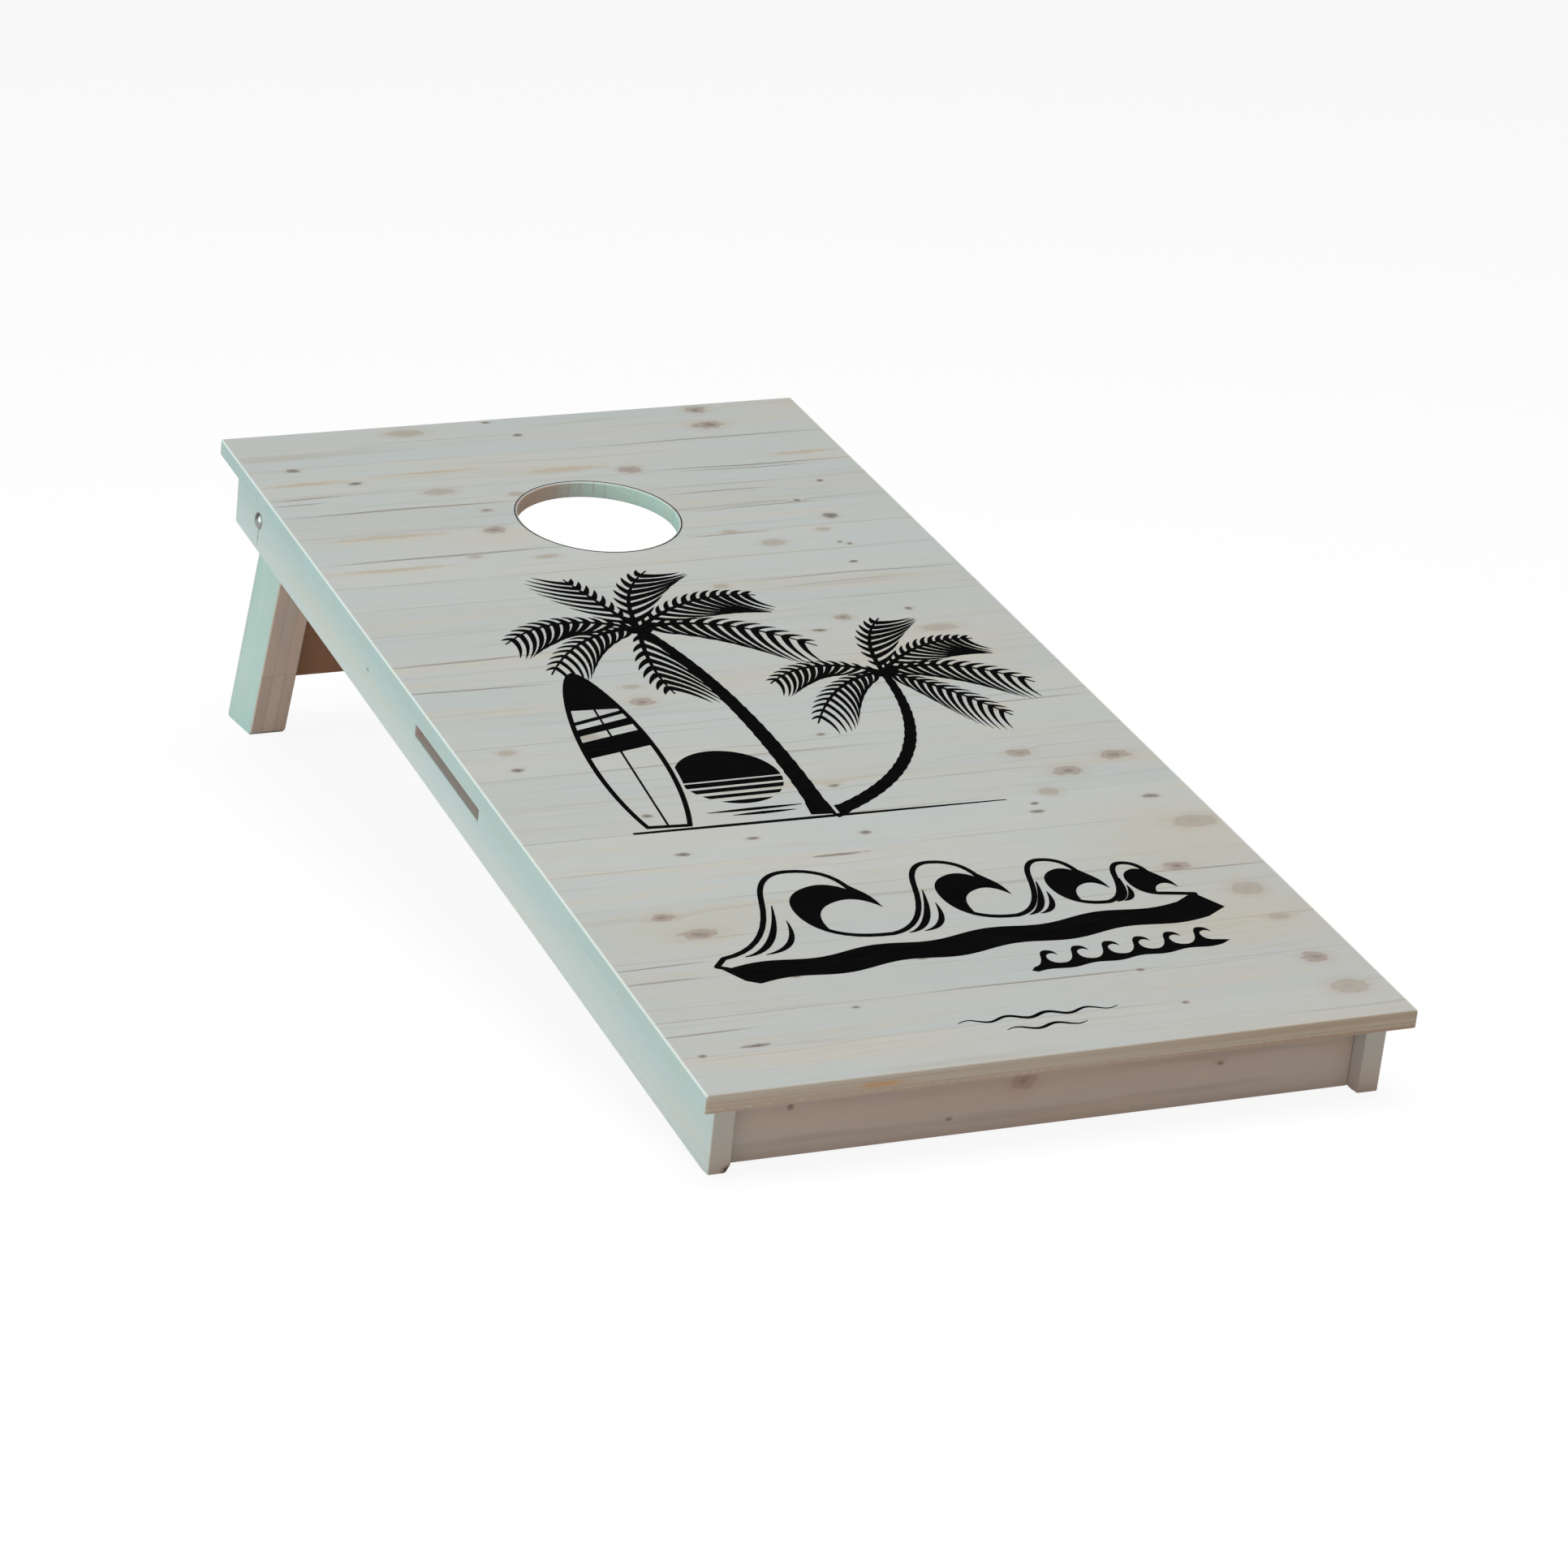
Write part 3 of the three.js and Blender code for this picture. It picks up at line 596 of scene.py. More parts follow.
def rail_marks_and_painted_light(wood, color, space):
    """Painted shade: darker just under the deck, and painted light: paler low on the rail. Painted warm shade on
    the front end face. The slot's walls are bare wood.
    """
    along, across, through = wood.split(space)
    lower_down = wood.fade(across, -62, -18, 1, 0)
    # Painted shade under the deck, painted light low on the rail.
    color = wood.tint(color, wood.blend(lower_down, (0.93, 0.98, 0.97), (1.14, 1.08, 1.07)))
    # Painted warm shade on the front end face.
    cut_face = wood.fade(along, RAIL_FRONT + 0.4, RAIL_FRONT + 1.6, 0.9, 0)
    warm = wood.tint(color, (0.93, 0.87, 0.8))
    color = wood.blend(cut_face, color, warm)
    from_slot_middle = wood.absolute(wood.minus(along, SLOT_MIDDLE))
    in_length = wood.math("LESS_THAN", from_slot_middle, SLOT_HALF_LENGTH)
    from_slot_line = wood.absolute(wood.minus(across, SLOT_DROP))
    in_height = wood.math("LESS_THAN", from_slot_line, SLOT_HALF_HEIGHT)
    from_core = wood.absolute(wood.minus(wood.absolute(through), RAIL_THICKNESS / 2))
    depth = wood.minus(RAIL_THICKNESS / 2, from_core)
    inside = wood.product(wood.fade(depth, 0.7, 2.2), in_length, in_height)
    bare = wood.tint(color, (1.3, 1.02, 0.97))
    return wood.blend(inside, color, bare)


def left_rail_marks_and_painted_light(wood, color, space):
    """A thin dark line running down from under the bolt head, soil rubbed into the chipped front corner, and the
    rail's painted light.
    """
    color = rail_marks_and_painted_light(wood, color, space)
    pivot = DECK.inverted() @ Vector(LEG_JOINT["pos_m"]) / MM
    along, across, through = wood.split(space)
    wander = wood.noise(space, (3, 4, 3), detail=2)
    place = wood.math("MULTIPLY_ADD", wander, 1.6, pivot.y - 0.8)
    below = wood.minus(pivot.z - DECK_UNDERSIDE - BOLT_HEAD_RADIUS, across)
    drift = wood.math("MULTIPLY_ADD", below, 0.1, place)
    aside = wood.absolute(wood.minus(along, drift))
    run = wood.product(wood.fade(aside, 0.5, 1.4, 0.75, 0),
                         wood.fade(below, 11, 23, 1, 0),
                         wood.math("GREATER_THAN", below, 0))
    color = wood.blend(run, color, BOLT_LINE_DARK)
    ragged = wood.noise(space, (2.6, 2.6, 2.6), detail=4, roughness=0.7)
    from_corner = wood.vector("SUBTRACT", space, (RAIL_FRONT, RAIL_FOOT, RAIL_THICKNESS))
    reach = wood.length(wood.vector("MULTIPLY", from_corner, (0.09, 0.09, 0.1)))
    soil = wood.math("MULTIPLY_ADD", ragged, 1.2, wood.minus(reach, 0.6))
    return wood.blend(wood.fade(soil, 0.55, 1, 0.94, 0), color, SOIL)


def leg_directions():
    """The directions up a leg and across its width, from the middle of its foot to the pivot."""
    mounts = frame["record"]["mounts"]
    foot = next(Vector(mount["pos_m"]) for mount in mounts if mount["name"] == "foot_left")
    up = Vector(LEG_JOINT["pos_m"]) - foot
    up.x = 0
    up.normalize()
    return up, Vector((0, up.z, -up.y))


LEG_UP, LEG_ACROSS = leg_directions()
LEG_HALF_WIDTH = 32
LAMELLA = 12
LEG_BLOCK = 128


def leg_blocks(wood, along, through):
    """Short blocks finger-jointed into thin lamellae: a random number for each, and the glue lines."""
    inputs = {
        "Vector": wood.join(along, through, 0), "Scale": 1, "Brick Width": LEG_BLOCK,
        "Row Height": LAMELLA, "Mortar Size": 0.25, "Mortar Smooth": 0.2,
        "Color1": (0, 0, 0, 1), "Color2": WHITE, "Mortar": (0.5, 0.5, 0.5, 1),
    }
    blocks = wood.node("ShaderNodeTexBrick", inputs, offset=0.37, offset_frequency=1).outputs
    return wood.split(blocks["Color"])[0], blocks["Fac"]


def leg_material():
    """Leg timber: its glue lines and blocks show on the front and rear faces only. Painted light: the front and
    rear faces are tinted warm and lighter towards the foot; the side faces are tinted mint and darker towards the
    top.
    """
    wood = Shader("whitewashed_legs")
    pivot = Vector(LEG_JOINT["pos_m"])
    low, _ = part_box("leg_left")
    space = timber_space(wood, Vector((low.x, pivot.y, pivot.z)), LEG_UP, LEG_ACROSS)
    along, across, through = wood.split(space)
    number, glue = leg_blocks(wood, along, through)
    seed = wood.join(wood.product(number, 4000), 50, 9)
    marks = grain_marks(wood, space, (-20, -46), seed)
    color = whitewashed(wood, space, marks, seed, 0.8)
    laminated_painted_warm = wood.shade(color, wood.fade(number, 0, 1, 0.93, 1.08))
    laminated_painted_warm = wood.shade(laminated_painted_warm, wood.fade(number, 0.9, 0.92, 1, 0.86))
    laminated_painted_warm = wood.blend(wood.product(glue, 0.4), laminated_painted_warm, GLUE_LINE)
    # Painted warm light on the front and rear faces, lighter towards the foot.
    laminated_painted_warm = wood.tint(laminated_painted_warm, (1.22, 0.93, 0.82))
    laminated_painted_warm = wood.shade(laminated_painted_warm, wood.fade(along, -240, -80, 1.14, 1))
    mottle = wood.noise(space, (46, 20, 20), detail=4, roughness=0.6)
    # Painted mint light on the side faces, darker towards the top under the deck.
    stained_and_painted_cool = wood.tint(color, (0.94, 1.1, 1.04))
    stained_and_painted_cool = wood.shade(stained_and_painted_cool, wood.fade(along, -240, -60, 1.04, 0.94))
    stained_and_painted_cool = wood.blend(wood.fade(mottle, 0.45, 0.7, 0, 0.45), stained_and_painted_cool, (0.56, 0.6, 0.56))
    narrow_face = wood.fade(wood.absolute(across), LEG_HALF_WIDTH - 2.4, LEG_HALF_WIDTH - 0.6)
    return wood_surface(wood, wood.blend(narrow_face, stained_and_painted_cool, laminated_painted_warm), marks)


def dowel_material():
    shader = Shader("beech")
    coordinates = shader.object_space()
    flecks = shader.noise(coordinates, (0.006, 0.0007, 0.0007), detail=3)
    color = shader.blend(shader.fade(flecks, 0.4, 0.7), (0.56, 0.38, 0.22), (0.4, 0.25, 0.13))
    return shader.finish(color, 0.6, flecks, 0.0001)


# ---------- metal, nylon and ink ----------


def steel_material():
    """Bright zinc plating with a faint mottle and fine turning marks."""
    shader = Shader("zinc_plating")
    coordinates = shader.object_space()
    mottle = shader.noise(coordinates, (0.003, 0.003, 0.003), detail=4)
    color = shader.blend(mottle, (0.34, 0.34, 0.35), (0.48, 0.47, 0.46))
    scratches = shader.noise(coordinates, (0.02, 0.0003, 0.0003), detail=2)
    roughness = shader.fade(mottle, 0.3, 0.7, 0.2, 0.36)
    return shader.finish(color, roughness, scratches, 0.000008, Metallic=1)


def nylon_material():
    shader = Shader("blue_nylon")
    coordinates = shader.object_space()
    grain = shader.noise(coordinates, (0.0006, 0.0006, 0.0006), detail=3)
    color = shader.blend(grain, (0.035, 0.13, 0.34), (0.055, 0.18, 0.42))
    return shader.finish(color, 0.42, grain, 0.00002)


def ink_material():
    """Matt black ink, slightly uneven where it lies over the grain."""
    shader = Shader("black_ink")
    space = timber_space(shader, row_point(0, 0), (1, 0, 0), UP_DECK)
    fibres = shader.noise(space, (40, 0.9, 0.9), detail=3)
    patches = shader.noise(space, (60, 30, 30), detail=2)
    color = shader.blend(shader.fade(fibres, 0.35, 0.8), (0.0015, 0.0015, 0.002), (0.005, 0.005, 0.005))
    roughness = shader.fade(patches, 0.3, 0.7, 0.75, 0.9)
    return shader.finish(color, roughness, fibres, 0.00003, Specular_IOR_Level=0.02)


# ---------- finish on the CAD nodes ----------


def add_modifier(node, kind, **settings):
    modifier = node.modifiers.new(kind.lower(), kind)
    for name, value in settings.items():
        setattr(modifier, name, value)


def smooth_edges(node, width):
    """Joins the mesh's loose triangles, rounds its sharp edges over and shades it smoothly."""
    mesh = node.data
    if "custom_normal" in mesh.attributes:
        mesh.attributes.remove(mesh.attributes["custom_normal"])
    mesh.shade_smooth()
    add_modifier(node, "WELD", merge_threshold=0.01 * MM)
    add_modifier(node, "DECIMATE", decimate_type="DISSOLVE", angle_limit=math.radians(0.3))
    add_modifier(node, "BEVEL", width=width, segments=3, limit_method="ANGLE",
                 angle_limit=math.radians(50), use_clamp_overlap=False, loop_slide=False,
                 face_strength_mode="FSTR_ALL")
    add_modifier(node, "WEIGHTED_NORMAL", use_face_influence=True, weight=100)


def dress(names, material, edge):
    for name in names:
        node = NODES[name]
        node.data.materials.clear()
        node.data.materials.append(material)
        smooth_edges(node, edge)


def named(*starts):
    return sorted(name for name in NODES if name.startswith(starts))


def frame_timber(name, x, y, grain, **look):
    """Timber of a frame board whose own coordinates start at a place on the deck's underside."""
    origin = row_point(x, y, DECK_UNDERSIDE)
    return board_material("whitewashed_" + name, origin, grain, OUT_OF_DECK, **look)


def dress_frame():
    left = frame_timber("left_rail", -RAIL_OUTSIDE, 0, UP_DECK, heart=(-30, 60),
                        seed=(0, 90, 0), show=0.35, dark_knots=((800, -33, 3, 2),),
                        marks_on_top=left_rail_marks_and_painted_light)
    right = frame_timber("right_rail", RAIL_OUTSIDE, 0, UP_DECK, heart=(-50, -60),
                         seed=(900, 20, 0), show=0.45,
                         dark_knots=((310, -25, 4, 3), (850, -44, 5, 3)), marks_on_top=rail_marks_and_painted_light)
    # The front apron's pinkish tint is painted warm light on a front face.
    front = frame_timber("front_apron", 0, 30, (1, 0, 0), heart=(-35, -50),
                         seed=(300, 0, 40), show=0.7, tint=(0.98, 0.89, 0.83),
                         knots=((-20, -24, 12, 8),), marks_on_top=apron_painted_light,
                         dark_knots=((-215, -22, 3, 3), (-80, -50, 3, 2), (150, -30, 3, 2)))
    rear = frame_timber("rear_apron", 0, 1150, (1, 0, 0), heart=(-20, 50),
                        seed=(2300, 0, 70), knots=((120, -20, 12, 8),),
                        dark_knots=((-90, -30, 4, 3),))
    dress(["side_rail_left"], left, 1 * MM)
    dress(["side_rail_right"], right, 1 * MM)
    dress(["front_apron"], front, 0.7 * MM)
    dress(["rear_apron"], rear, 0.7 * MM)


def dress_legs():
    dress(["leg_left", "leg_right"], leg_material(), 1.3 * MM)
    pivot = Vector(LEG_JOINT["pos_m"])
    # The stretcher's dark red-brown tint is painted warm shade under the deck.
    stretcher = board_material("whitewashed_stretcher", pivot, grain=(1, 0, 0), across=LEG_UP,
                               heart=(-190, 45), seed=(5300, 10, 20),
                               tint=(0.76, 0.36, 0.21), show=1,
                               knots=((60, -160, 13, 7),), dark_knots=((-140, -185, 4, 3),))
    dress(["leg_stretcher"], stretcher, 1.2 * MM)


def dress_hardware():
    dress(named("pivot_bolt", "spacer_washer", "nut_washer", "lock_nut_left", "lock_nut_right",
                "front_apron_pocket_screw", "side_rail_pocket_screw"), steel_material(), 0.15 * MM)
    dress(named("lock_nut_insert"), nylon_material(), 0.15 * MM)
    dress([name for name in NODES if "_dowel_" in name], dowel_material(), 0.2 * MM)


# ---------- the printed picture ----------

# The ink's lower and upper side above the deck, in millimetres.
INK_LOW = 0.02
INK_HIGH = 0.16

QUARTERS = (0, 0.25, 0.5, 0.75, 1)


class Print:
    """Flat shapes in deck millimetres, laid one over another as ink or as bare wood."""

    def __init__(self):
        self.shapes = []

    def lay(self, outline, ink=True):
        corners = [Vector(corner) for corner in outline]
        area = signed_area(corners)
        if area < 0:
            corners.reverse()
        if abs(area) > 0.01:
            self.shapes.append((corners, ink))

    def lay_swept(self, outline, offset):
        """Covers everything the outline passes over on its way along offset."""
        offset = Vector(offset)
        for start, end in zip(outline, outline[1:] + outline[:1]):
            self.lay([start, end, end + offset, start + offset])
        self.lay(outline)
        self.lay([corner + offset for corner in outline])

    def lay_line(self, points, half_width):
        """Draws a line of even thickness with round joints."""
        for start, end in zip(points, points[1:]):
            side = left_of((end - start).normalized()) * half_width
            self.lay([start - side, end - side, end + side, start + side])
            self.lay(arc(end, half_width, half_width, 0, 315, 7))

    def inked_triangles(self):
        """Cuts all shapes into triangles, and keeps those whose uppermost shape is ink."""
        points, faces = [], []
        for corners, _ in self.shapes:
            faces.append(list(range(len(points), len(points) + len(corners))))
            points.extend(corners)
        vertices, _, triangles, _, _, sources = delaunay_2d_cdt(points, [], faces, 1, 0.001, True)
        inked = []
        for triangle, covering in zip(triangles, sources):
            if covering and self.shapes[max(covering)][1]:
                inked.append(triangle)
        return vertices, inked

    def build(self, name, material):
        """A thin closed solid of ink lying on the deck."""
        vertices, triangles = self.inked_triangles()
        solid = bmesh.new()
        corners = [solid.verts.new((point.x * MM, point.y * MM, INK_HIGH * MM)) for point in vertices]
        for triangle in triangles:
            solid.faces.new([corners[index] for index in triangle])
        loose = [vertex for vertex in solid.verts if not vertex.link_faces]
        bmesh.ops.delete(solid, geom=loose, context="VERTS")
        grown = bmesh.ops.extrude_face_region(solid, geom=solid.faces[:], use_keep_orig=True)
        for item in grown["geom"]:
            if isinstance(item, bmesh.types.BMVert):
                item.co.z = INK_LOW * MM
        bmesh.ops.recalc_face_normals(solid, faces=solid.faces[:])
        solid.transform(DECK)
        mesh = bpy.data.meshes.new(name)
        solid.to_mesh(mesh)
        solid.free()
        mesh.materials.append(material)
        piece = bpy.data.objects.new(name, mesh)
        bpy.context.scene.collection.objects.link(piece)
        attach(piece, "board")


def signed_area(corners):
    total = 0
    for start, end in zip(corners, corners[1:] + corners[:1]):
        total += start[0] * end[1] - end[0] * start[1]
    return total / 2


def bend(start, middle, end, share):
    """A point on the quadratic curve from start to end, pulled towards middle."""
    start, middle, end = Vector(start), Vector(middle), Vector(end)
    return (1 - share) ** 2 * start + 2 * share * (1 - share) * middle + share ** 2 * end


def heading(points, index):
    """The unit direction of a line of points at one of them."""
    after = points[min(index + 1, len(points) - 1)]
    before = points[max(index - 1, 0)]
    return (after - before).normalized()


def left_of(direction):
    return Vector((-direction.y, direction.x))


def stroke(points, half_width):
    """The outline of a line of points; half_width gives its half width at a share of its length."""
    left, right = [], []
    for index, point in enumerate(points):
        side = left_of(heading(points, index)) * half_width(index / (len(points) - 1))
        left.append(point + side)
        right.append(point - side)
    return left + right[::-1]


def swell(thick, taper):
    """Half widths of a line that is full in its middle and thin at both ends."""
    return lambda share: thick * math.sin(math.pi * (taper + (1 - 2 * taper) * share))


def arc(middle, radius_x, radius_y, start, end, steps):
    """Points of an ellipse from one angle to another, in degrees."""
    points = []
    for step in range(steps + 1):
        angle = math.radians(start + (end - start) * step / steps)
        points.append(Vector((middle[0] + radius_x * math.cos(angle),
                              middle[1] + radius_y * math.sin(angle))))
    return points


def frond(picture, crown, angle, length, arch, droop):
    """A palm frond: an arched rib with long leaflets hanging from one side, short ones on the other."""
    out = Vector((math.cos(math.radians(angle)), math.sin(math.radians(angle))))
    blades = 9 if abs(out.y) > 0.75 else 13
    middle = Vector(crown) + out * length * 0.52 + Vector(arch)
    end = Vector(crown) + out * length - Vector((0, droop))
    rib = [bend(crown, middle, end, step / blades) for step in range(blades + 1)]
    picture.lay(stroke(rib, lambda share: 2.6 - 1.8 * share))
    for sign in (1, -1):
        for index in range(1, blades):
            share = index / blades
            along = heading(rib, index)
            away = left_of(along) * sign
            hangs = away.y < -0.25 or (abs(away.y) <= 0.25 and away.x > 0)
            fullness = math.sin(math.pi * (0.06 + 0.86 * share)) ** 0.8
            reach = length * (0.36 if hangs else 0.12) * fullness
            leaflet(picture, rib[index], along, away, reach, length / blades * 0.34)


def leaflet(picture, root, along, away, reach, half_width):
    """A sickle-shaped leaflet that leaves the rib sideways and turns towards its tip."""
    steep = abs(along.y)
    pull = root + (along * (0.12 + 0.3 * steep) + away * 0.62) * reach
    tip = root + (along * (0.74 + 0.5 * steep) + away * (0.78 + 0.2 * steep)) * reach
    tip.y -= 0.12 * reach
    thick = half_width * (1 - 0.2 * steep)
    line = [bend(root, pull, tip, step / 7) for step in range(8)]
    picture.lay(stroke(line, lambda share: thick * (1 - share) ** 0.75 + 0.1))


def palm(picture, base, lean, crown, thick, fronds):
    """A bent trunk with worn ring notches, its fronds, and a few nuts under the crown."""
    steps = 90
    points = [bend(base, lean, crown, step / steps) for step in range(steps + 1)]

    def half_width(share):
        notch = (share * 22) % 1
        flare = max(0, 0.06 - share) / 0.06
        return thick * (0.5 - 0.22 * share) + 0.9 * notch + 2.5 * flare

    picture.lay(stroke(points, lambda share: half_width(share) + 3), ink=False)
    picture.lay(stroke(points, half_width))
    for angle, length, arch, droop in fronds:
        frond(picture, crown, angle, length, arch, droop)
    for turn in (3.6, 4.7, 5.8):
        nut = Vector(crown) + Vector((math.cos(turn), math.sin(turn))) * 7
        picture.lay(arc(nut, 5.4, 5.4, 0, 345, 23))


def surfboard(picture, tail, nose, half_width):
    """A pointed board in outline, with a stringer and three slanting bands."""
    tail, nose = Vector(tail), Vector(nose)
    length = (nose - tail).length
    along = (nose - tail).normalized()
    side = left_of(along)

    def half(share):
        fullness = max(0, math.sin(math.pi * (0.11 + 0.89 * share))) ** 0.55
        return half_width * fullness * (1 - 0.12 * share)

    def edge(share, sign, inset):
        return tail + along * length * share + side * sign * max(0, half(share) - inset)

    def outline(inset):
        start, end = inset / length, 1 - 2.6 * inset / length
        shares = [start + (end - start) * step / 60 for step in range(61)]
        left = [edge(share, 1, inset) for share in shares]
        right = [edge(share, -1, inset) for share in shares]
        return left + right[::-1]

    def band(low, high, slant=0.07):
        corners = ((low, 1), (low + slant, -1), (high + slant, -1), (high, 1))
        picture.lay([edge(share, sign, 2) for share, sign in corners])

    picture.lay(outline(-3), ink=False)
    picture.lay(outline(0))
    picture.lay(outline(4.6), ink=False)
    for low, high in ((0.44, 0.54), (0.58, 0.62), (0.65, 0.67)):
        band(low, high)
    picture.lay([corner for corner in outline(0) if (corner - tail).dot(along) > length * 0.74])
    stringer = [tail + along * length * share for share in (0.01, 0.5, 0.98)]
    picture.lay(stroke(stringer, lambda share: 1))


def striped_sun(picture, middle, radius):
    """A low sun cut by bars of bare wood that widen downwards, over its broken reflection."""
    middle = Vector(middle)
    picture.lay(arc(middle, radius, radius, 0, 354, 59))
    for bar in range(4):
        low = middle.y - radius * (0.86 - 0.24 * bar)
        high = low + radius * (0.13 - 0.025 * bar)
        left, right = middle.x - radius * 1.1, middle.x + radius * 1.1
        picture.lay([(left, low), (right, low), (right, high), (left, high)], ink=False)
    for reach, drop, aside in ((0.95, 1.22, 0), (0.62, 1.38, 5)):
        start = middle + Vector((aside - radius * reach, -radius * drop))
        line = [start + Vector((radius * reach * 2 * share, 0)) for share in QUARTERS]
        picture.lay(stroke(line, swell(2.2, 0.04)))


# One breaking wave in shares of its width and height: the ends of its curves, each with the
# point that pulls the curve leading to it.
CREST = (
    ((0.3, 0.04), (0.44, 0.66)),
    ((0.52, 1.03), (0.7, 1)),
    ((0.96, 0.96), (0.97, 0.58)),
    ((0.88, 0.78), (0.75, 0.74)),
    ((0.55, 0.68), (0.59, 0.36)),
    ((0.65, 0.02), (1, 0)),
)
WAVES = ((-208, 150, 112), (-58, 112, 96), (54, 84, 76), (138, 56, 54))
WAVE_FOOT = 196
WAVE_SHADOW = (14, -24)
WAVE_LEAN = 0.06


def crest(x, y, width, height):
    """The upper edge of one wave, from its foot to the foot of the next."""
    points = [Vector((x, y))]
    for pull, end in CREST:
        pull = Vector((x + width * pull[0], y + height * pull[1]))
        end = Vector((x + width * end[0], y + height * end[1]))
        start = points[-1]
        points.extend(bend(start, pull, end, step / 9) for step in range(1, 10))
    return points


def wave_row(waves, foot, depth):
    """A row of joined waves that rises a little to the right, over a gently rippled lower edge."""
    first, last = waves[0][0], waves[-1][0] + waves[-1][1]
    edge = []
    for x, width, height in waves:
        edge.extend(crest(x, foot, width, height)[:-1])
    edge.append(Vector((last + depth * 1.2, foot - depth * 0.4)))
    for step in range(81):
        share = step / 80
        dip = depth * (1 + 0.18 * math.sin(share * 4 * math.tau))
        edge.append(Vector((last + (first - last) * share, foot - dip)))
    edge.append(Vector((first - depth * 0.6, foot - depth * 0.6)))
    return [Vector((point.x, point.y + WAVE_LEAN * point.x)) for point in edge]


def wave_band(picture):
    """Breaking waves in outline over a deep block shadow."""
    outline = wave_row(WAVES, WAVE_FOOT, 17)
    picture.lay_swept(outline, WAVE_SHADOW)
    picture.lay(outline, ink=False)
    picture.lay_line(outline + outline[:1], 2.4)
    for x, width, height in WAVES:
        for right, up, thick in ((0.12, 0.62, 3), (0.24, 0.4, 2.6)):
            foot = WAVE_FOOT + WAVE_LEAN * x
            start = Vector((x + width * right, foot - 1))
            pull = Vector((x + width * (right + 0.22), foot + height * 0.02))
            end = Vector((x + width * (0.46 + 0.12 * right), foot + height * up))
            line = [bend(start, pull, end, step / 14) for step in range(15)]
            picture.lay(stroke(line, swell(thick, 0.05)))


def ripple_line(picture, start, length, height, waves, thick):
    """A soft line of even swells, thin at both ends."""
    points = []
    steps = waves * 24
    for step in range(steps + 1):
        share = step / steps
        points.append(Vector((start[0] + length * share,
                              start[1] + height * math.sin(share * waves * math.tau))))
    picture.lay(stroke(points, swell(thick, 0.06)))


# Fronds of each palm: the angle they leave the crown, length, rise of the arch, droop of the tip.
TALL_FRONDS = (
    (170, 132, (0, 38), 30), (200, 118, (0, 30), 30), (106, 112, (-2, 8), 0), (66, 128, (-20, 14), 6),
    (24, 146, (0, 34), 14), (-12, 150, (0, 36), 30), (-98, 122, (-14, -8), 4),
)
SHORT_FRONDS = (
    (168, 112, (0, 32), 26), (208, 112, (0, 26), 28), (68, 112, (-16, 12), 4),
    (28, 124, (0, 28), 12), (-8, 128, (0, 32), 26), (-46, 112, (0, 12), 18),
)


def beach_print():
    """Two palms, a surfboard and a low sun over breaking waves."""
    picture = Print()
    striped_sun(picture, (-84, 462), 46)
    surfboard(picture, (-168, 389), (-146, 668), 36)
    palm(picture, (-24, 386), (120, 446), (131, 618), 13, SHORT_FRONDS)
    palm(picture, (-31, 386), (-10, 600), (-53, 738), 17, TALL_FRONDS)
    ground = [Vector((-202 + 335 * share, 385 - 6 * share)) for share in QUARTERS]
    picture.lay(stroke(ground, lambda share: 0.4 + 1.6 * math.sin(math.pi * (0.25 + 0.7 * share))))
    wave_band(picture)
    small = [(30 + 28 * place, 28, 21) for place in range(6)]
    picture.lay(wave_row(small, 120, 7))
    ripple_line(picture, (-68, 56), 136, 2.6, 4, 1.7)
    ripple_line(picture, (-34, 40), 68, 2.4, 2, 1.5)
    return picture


def hole_ring():
    """A fine printed line around the target hole."""
    picture = Print()
    for gap, ink in ((1.5, True), (0.4, False)):
        radius = HOLE_RADIUS + gap
        picture.lay(arc((0, HOLE_MIDDLE), radius, radius, 0, 357.5, 143), ink)
    return picture


# ---------- floor, lights and camera ----------


def build_floor():
    """A plain floor that looks almost white, while it lights the object like pale paint."""
    bpy.ops.mesh.primitive_plane_add(size=60, location=(0, 0, -0.0004))
    floor = bpy.context.object
    floor.name = "studio_floor"
    shader = Shader("studio_floor")
    pale = shader.node("ShaderNodeBsdfDiffuse", {"Color": (0.8, 0.8, 0.8, 1)}).outputs[0]
    glow = shader.node("ShaderNodeEmission", {"Color": WHITE, "Strength": 1.06}).outputs[0]
    surface = shader.for_camera(pale, shader.mix(0.15, glow, pale))
    shader.node("ShaderNodeOutputMaterial", {"Surface": surface})
    floor.data.materials.append(shader.owner)


def build_world():
    """A white backdrop that lights the object only softly."""
    world = Shader("studio", "worlds")
    seen = world.node("ShaderNodeBackground", {"Color": WHITE}).outputs[0]
    glow = {"Color": (1, 0.93, 0.86, 1), "Strength": 0.28}
    ambient = world.node("ShaderNodeBackground", glow).outputs[0]
    world.node("ShaderNodeOutputWorld", {"Surface": world.for_camera(ambient, seen)})
    bpy.context.scene.world = world.owner


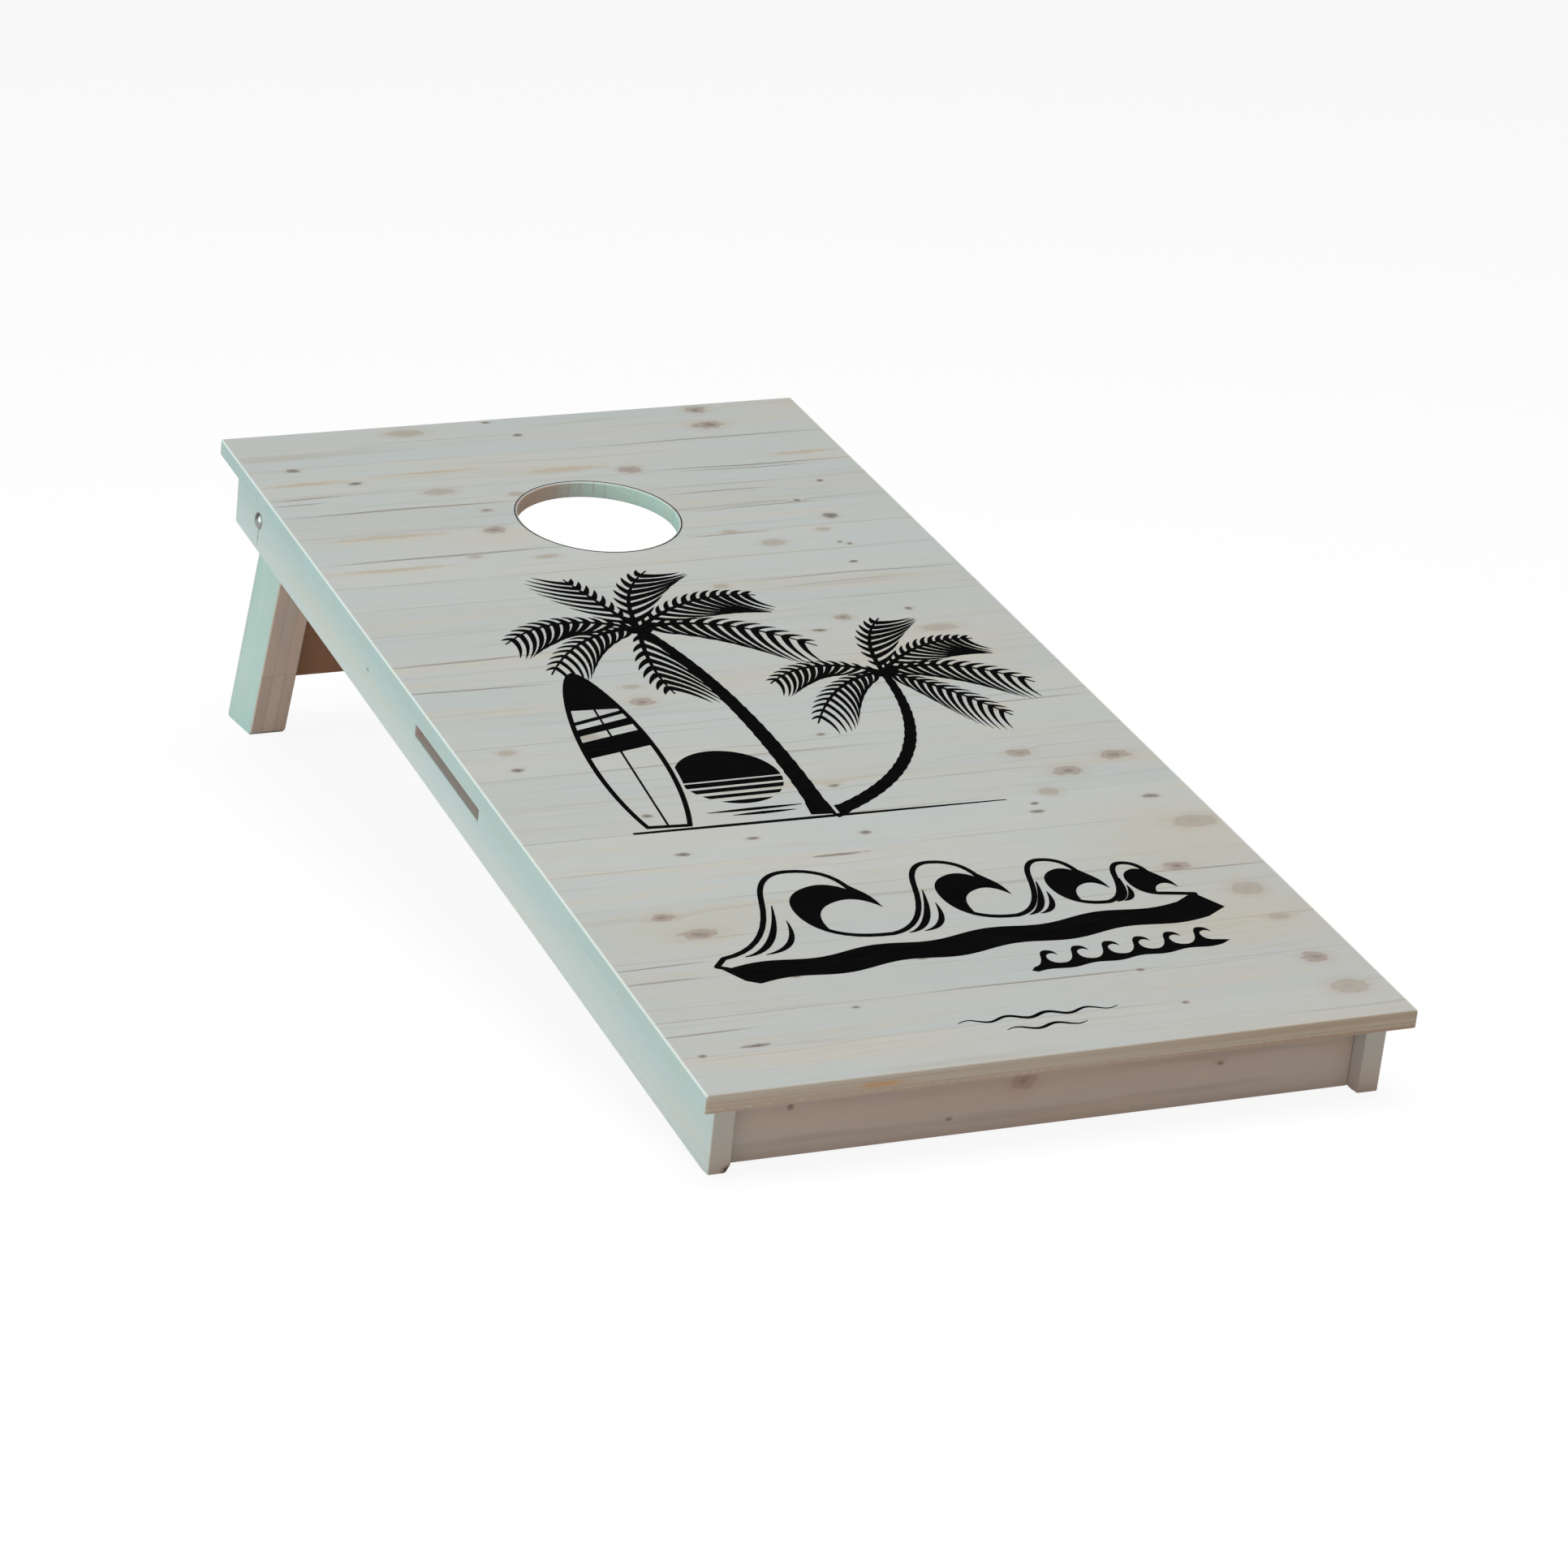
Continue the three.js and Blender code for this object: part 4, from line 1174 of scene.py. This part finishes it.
def soft_light(name, azimuth, elevation, distance, size, power, color):
    """A square area light aimed at the middle of the board; azimuth 0 stands on the -Y side."""
    target = (cad_bounds[0] + cad_bounds[1]) / 2
    turn = math.radians(azimuth)
    rise = math.radians(elevation)
    away = Vector((math.sin(turn) * math.cos(rise), -math.cos(turn) * math.cos(rise), math.sin(rise)))
    data = bpy.data.lights.new(name, "AREA")
    data.size = size
    data.energy = power
    data.color = color
    light = bpy.data.objects.new(name, data)
    light.location = target + away * distance
    light.rotation_euler = away.to_track_quat("Z", "Y").to_euler()
    bpy.context.scene.collection.objects.link(light)


def build_lights():
    soft_light("overhead", 20, 78, 3.6, 2.6, 93, (1, 0.97, 0.98))
    soft_light("left_side", -93, 14, 3.8, 2.4, 84, (0.69, 0.95, 0.97))
    soft_light("front_warm", -32, 8, 4, 2.6, 26, (1, 0.5, 0.42))


CAMERA_PLACE = (-1.657507, -3.691638, 1.368361)
CAMERA_TURN = -17.536
CAMERA_DROP = 9.304
CAMERA_LENS = 108.435
LENS_SHIFT = (0.37066, -0.43783)


def build_camera():
    """A long lens seen off-centre, because the picture is cut from one side of a wider view."""
    data = bpy.data.cameras.new("camera")
    data.lens = CAMERA_LENS
    camera = bpy.data.objects.new("camera", data)
    camera.location = CAMERA_PLACE
    camera.rotation_euler = (math.radians(90 - CAMERA_DROP), 0, math.radians(CAMERA_TURN))
    bpy.context.scene.collection.objects.link(camera)
    bpy.context.scene.camera = camera
    for name, shift in zip(("shift_x", "shift_y"), LENS_SHIFT):
        shift_only_here(camera, name, shift)


def shift_only_here(camera, name, shift):
    """Shifts the lens while the camera stands in its own place, and centres it elsewhere.

    The shift is a curve of the camera's x: zero, then a narrow step at home, then zero again.
    """
    curve = camera.data.driver_add(name)
    curve.driver.type = "SUM"
    place = curve.driver.variables.new()
    place.type = "TRANSFORMS"
    place.targets[0].id = camera
    place.targets[0].transform_type = "LOC_X"
    curve.modifiers.remove(curve.modifiers[0])
    home = CAMERA_PLACE[0]
    for x, value in ((home - 1, 0), (home - 0.02, shift), (home + 0.02, 0)):
        key = curve.keyframe_points.insert(x, value)
        key.interpolation = "CONSTANT"


# ---------- assembly ----------

dress(["deck"], deck_material(), 1.2 * MM)
dress_frame()
dress_legs()
dress_hardware()
ink = ink_material()
beach_print().build("beach_print", ink)
hole_ring().build("hole_ring", ink)
build_floor()
build_world()
build_lights()
build_camera()
bpy.context.scene.view_settings.view_transform = "Standard"
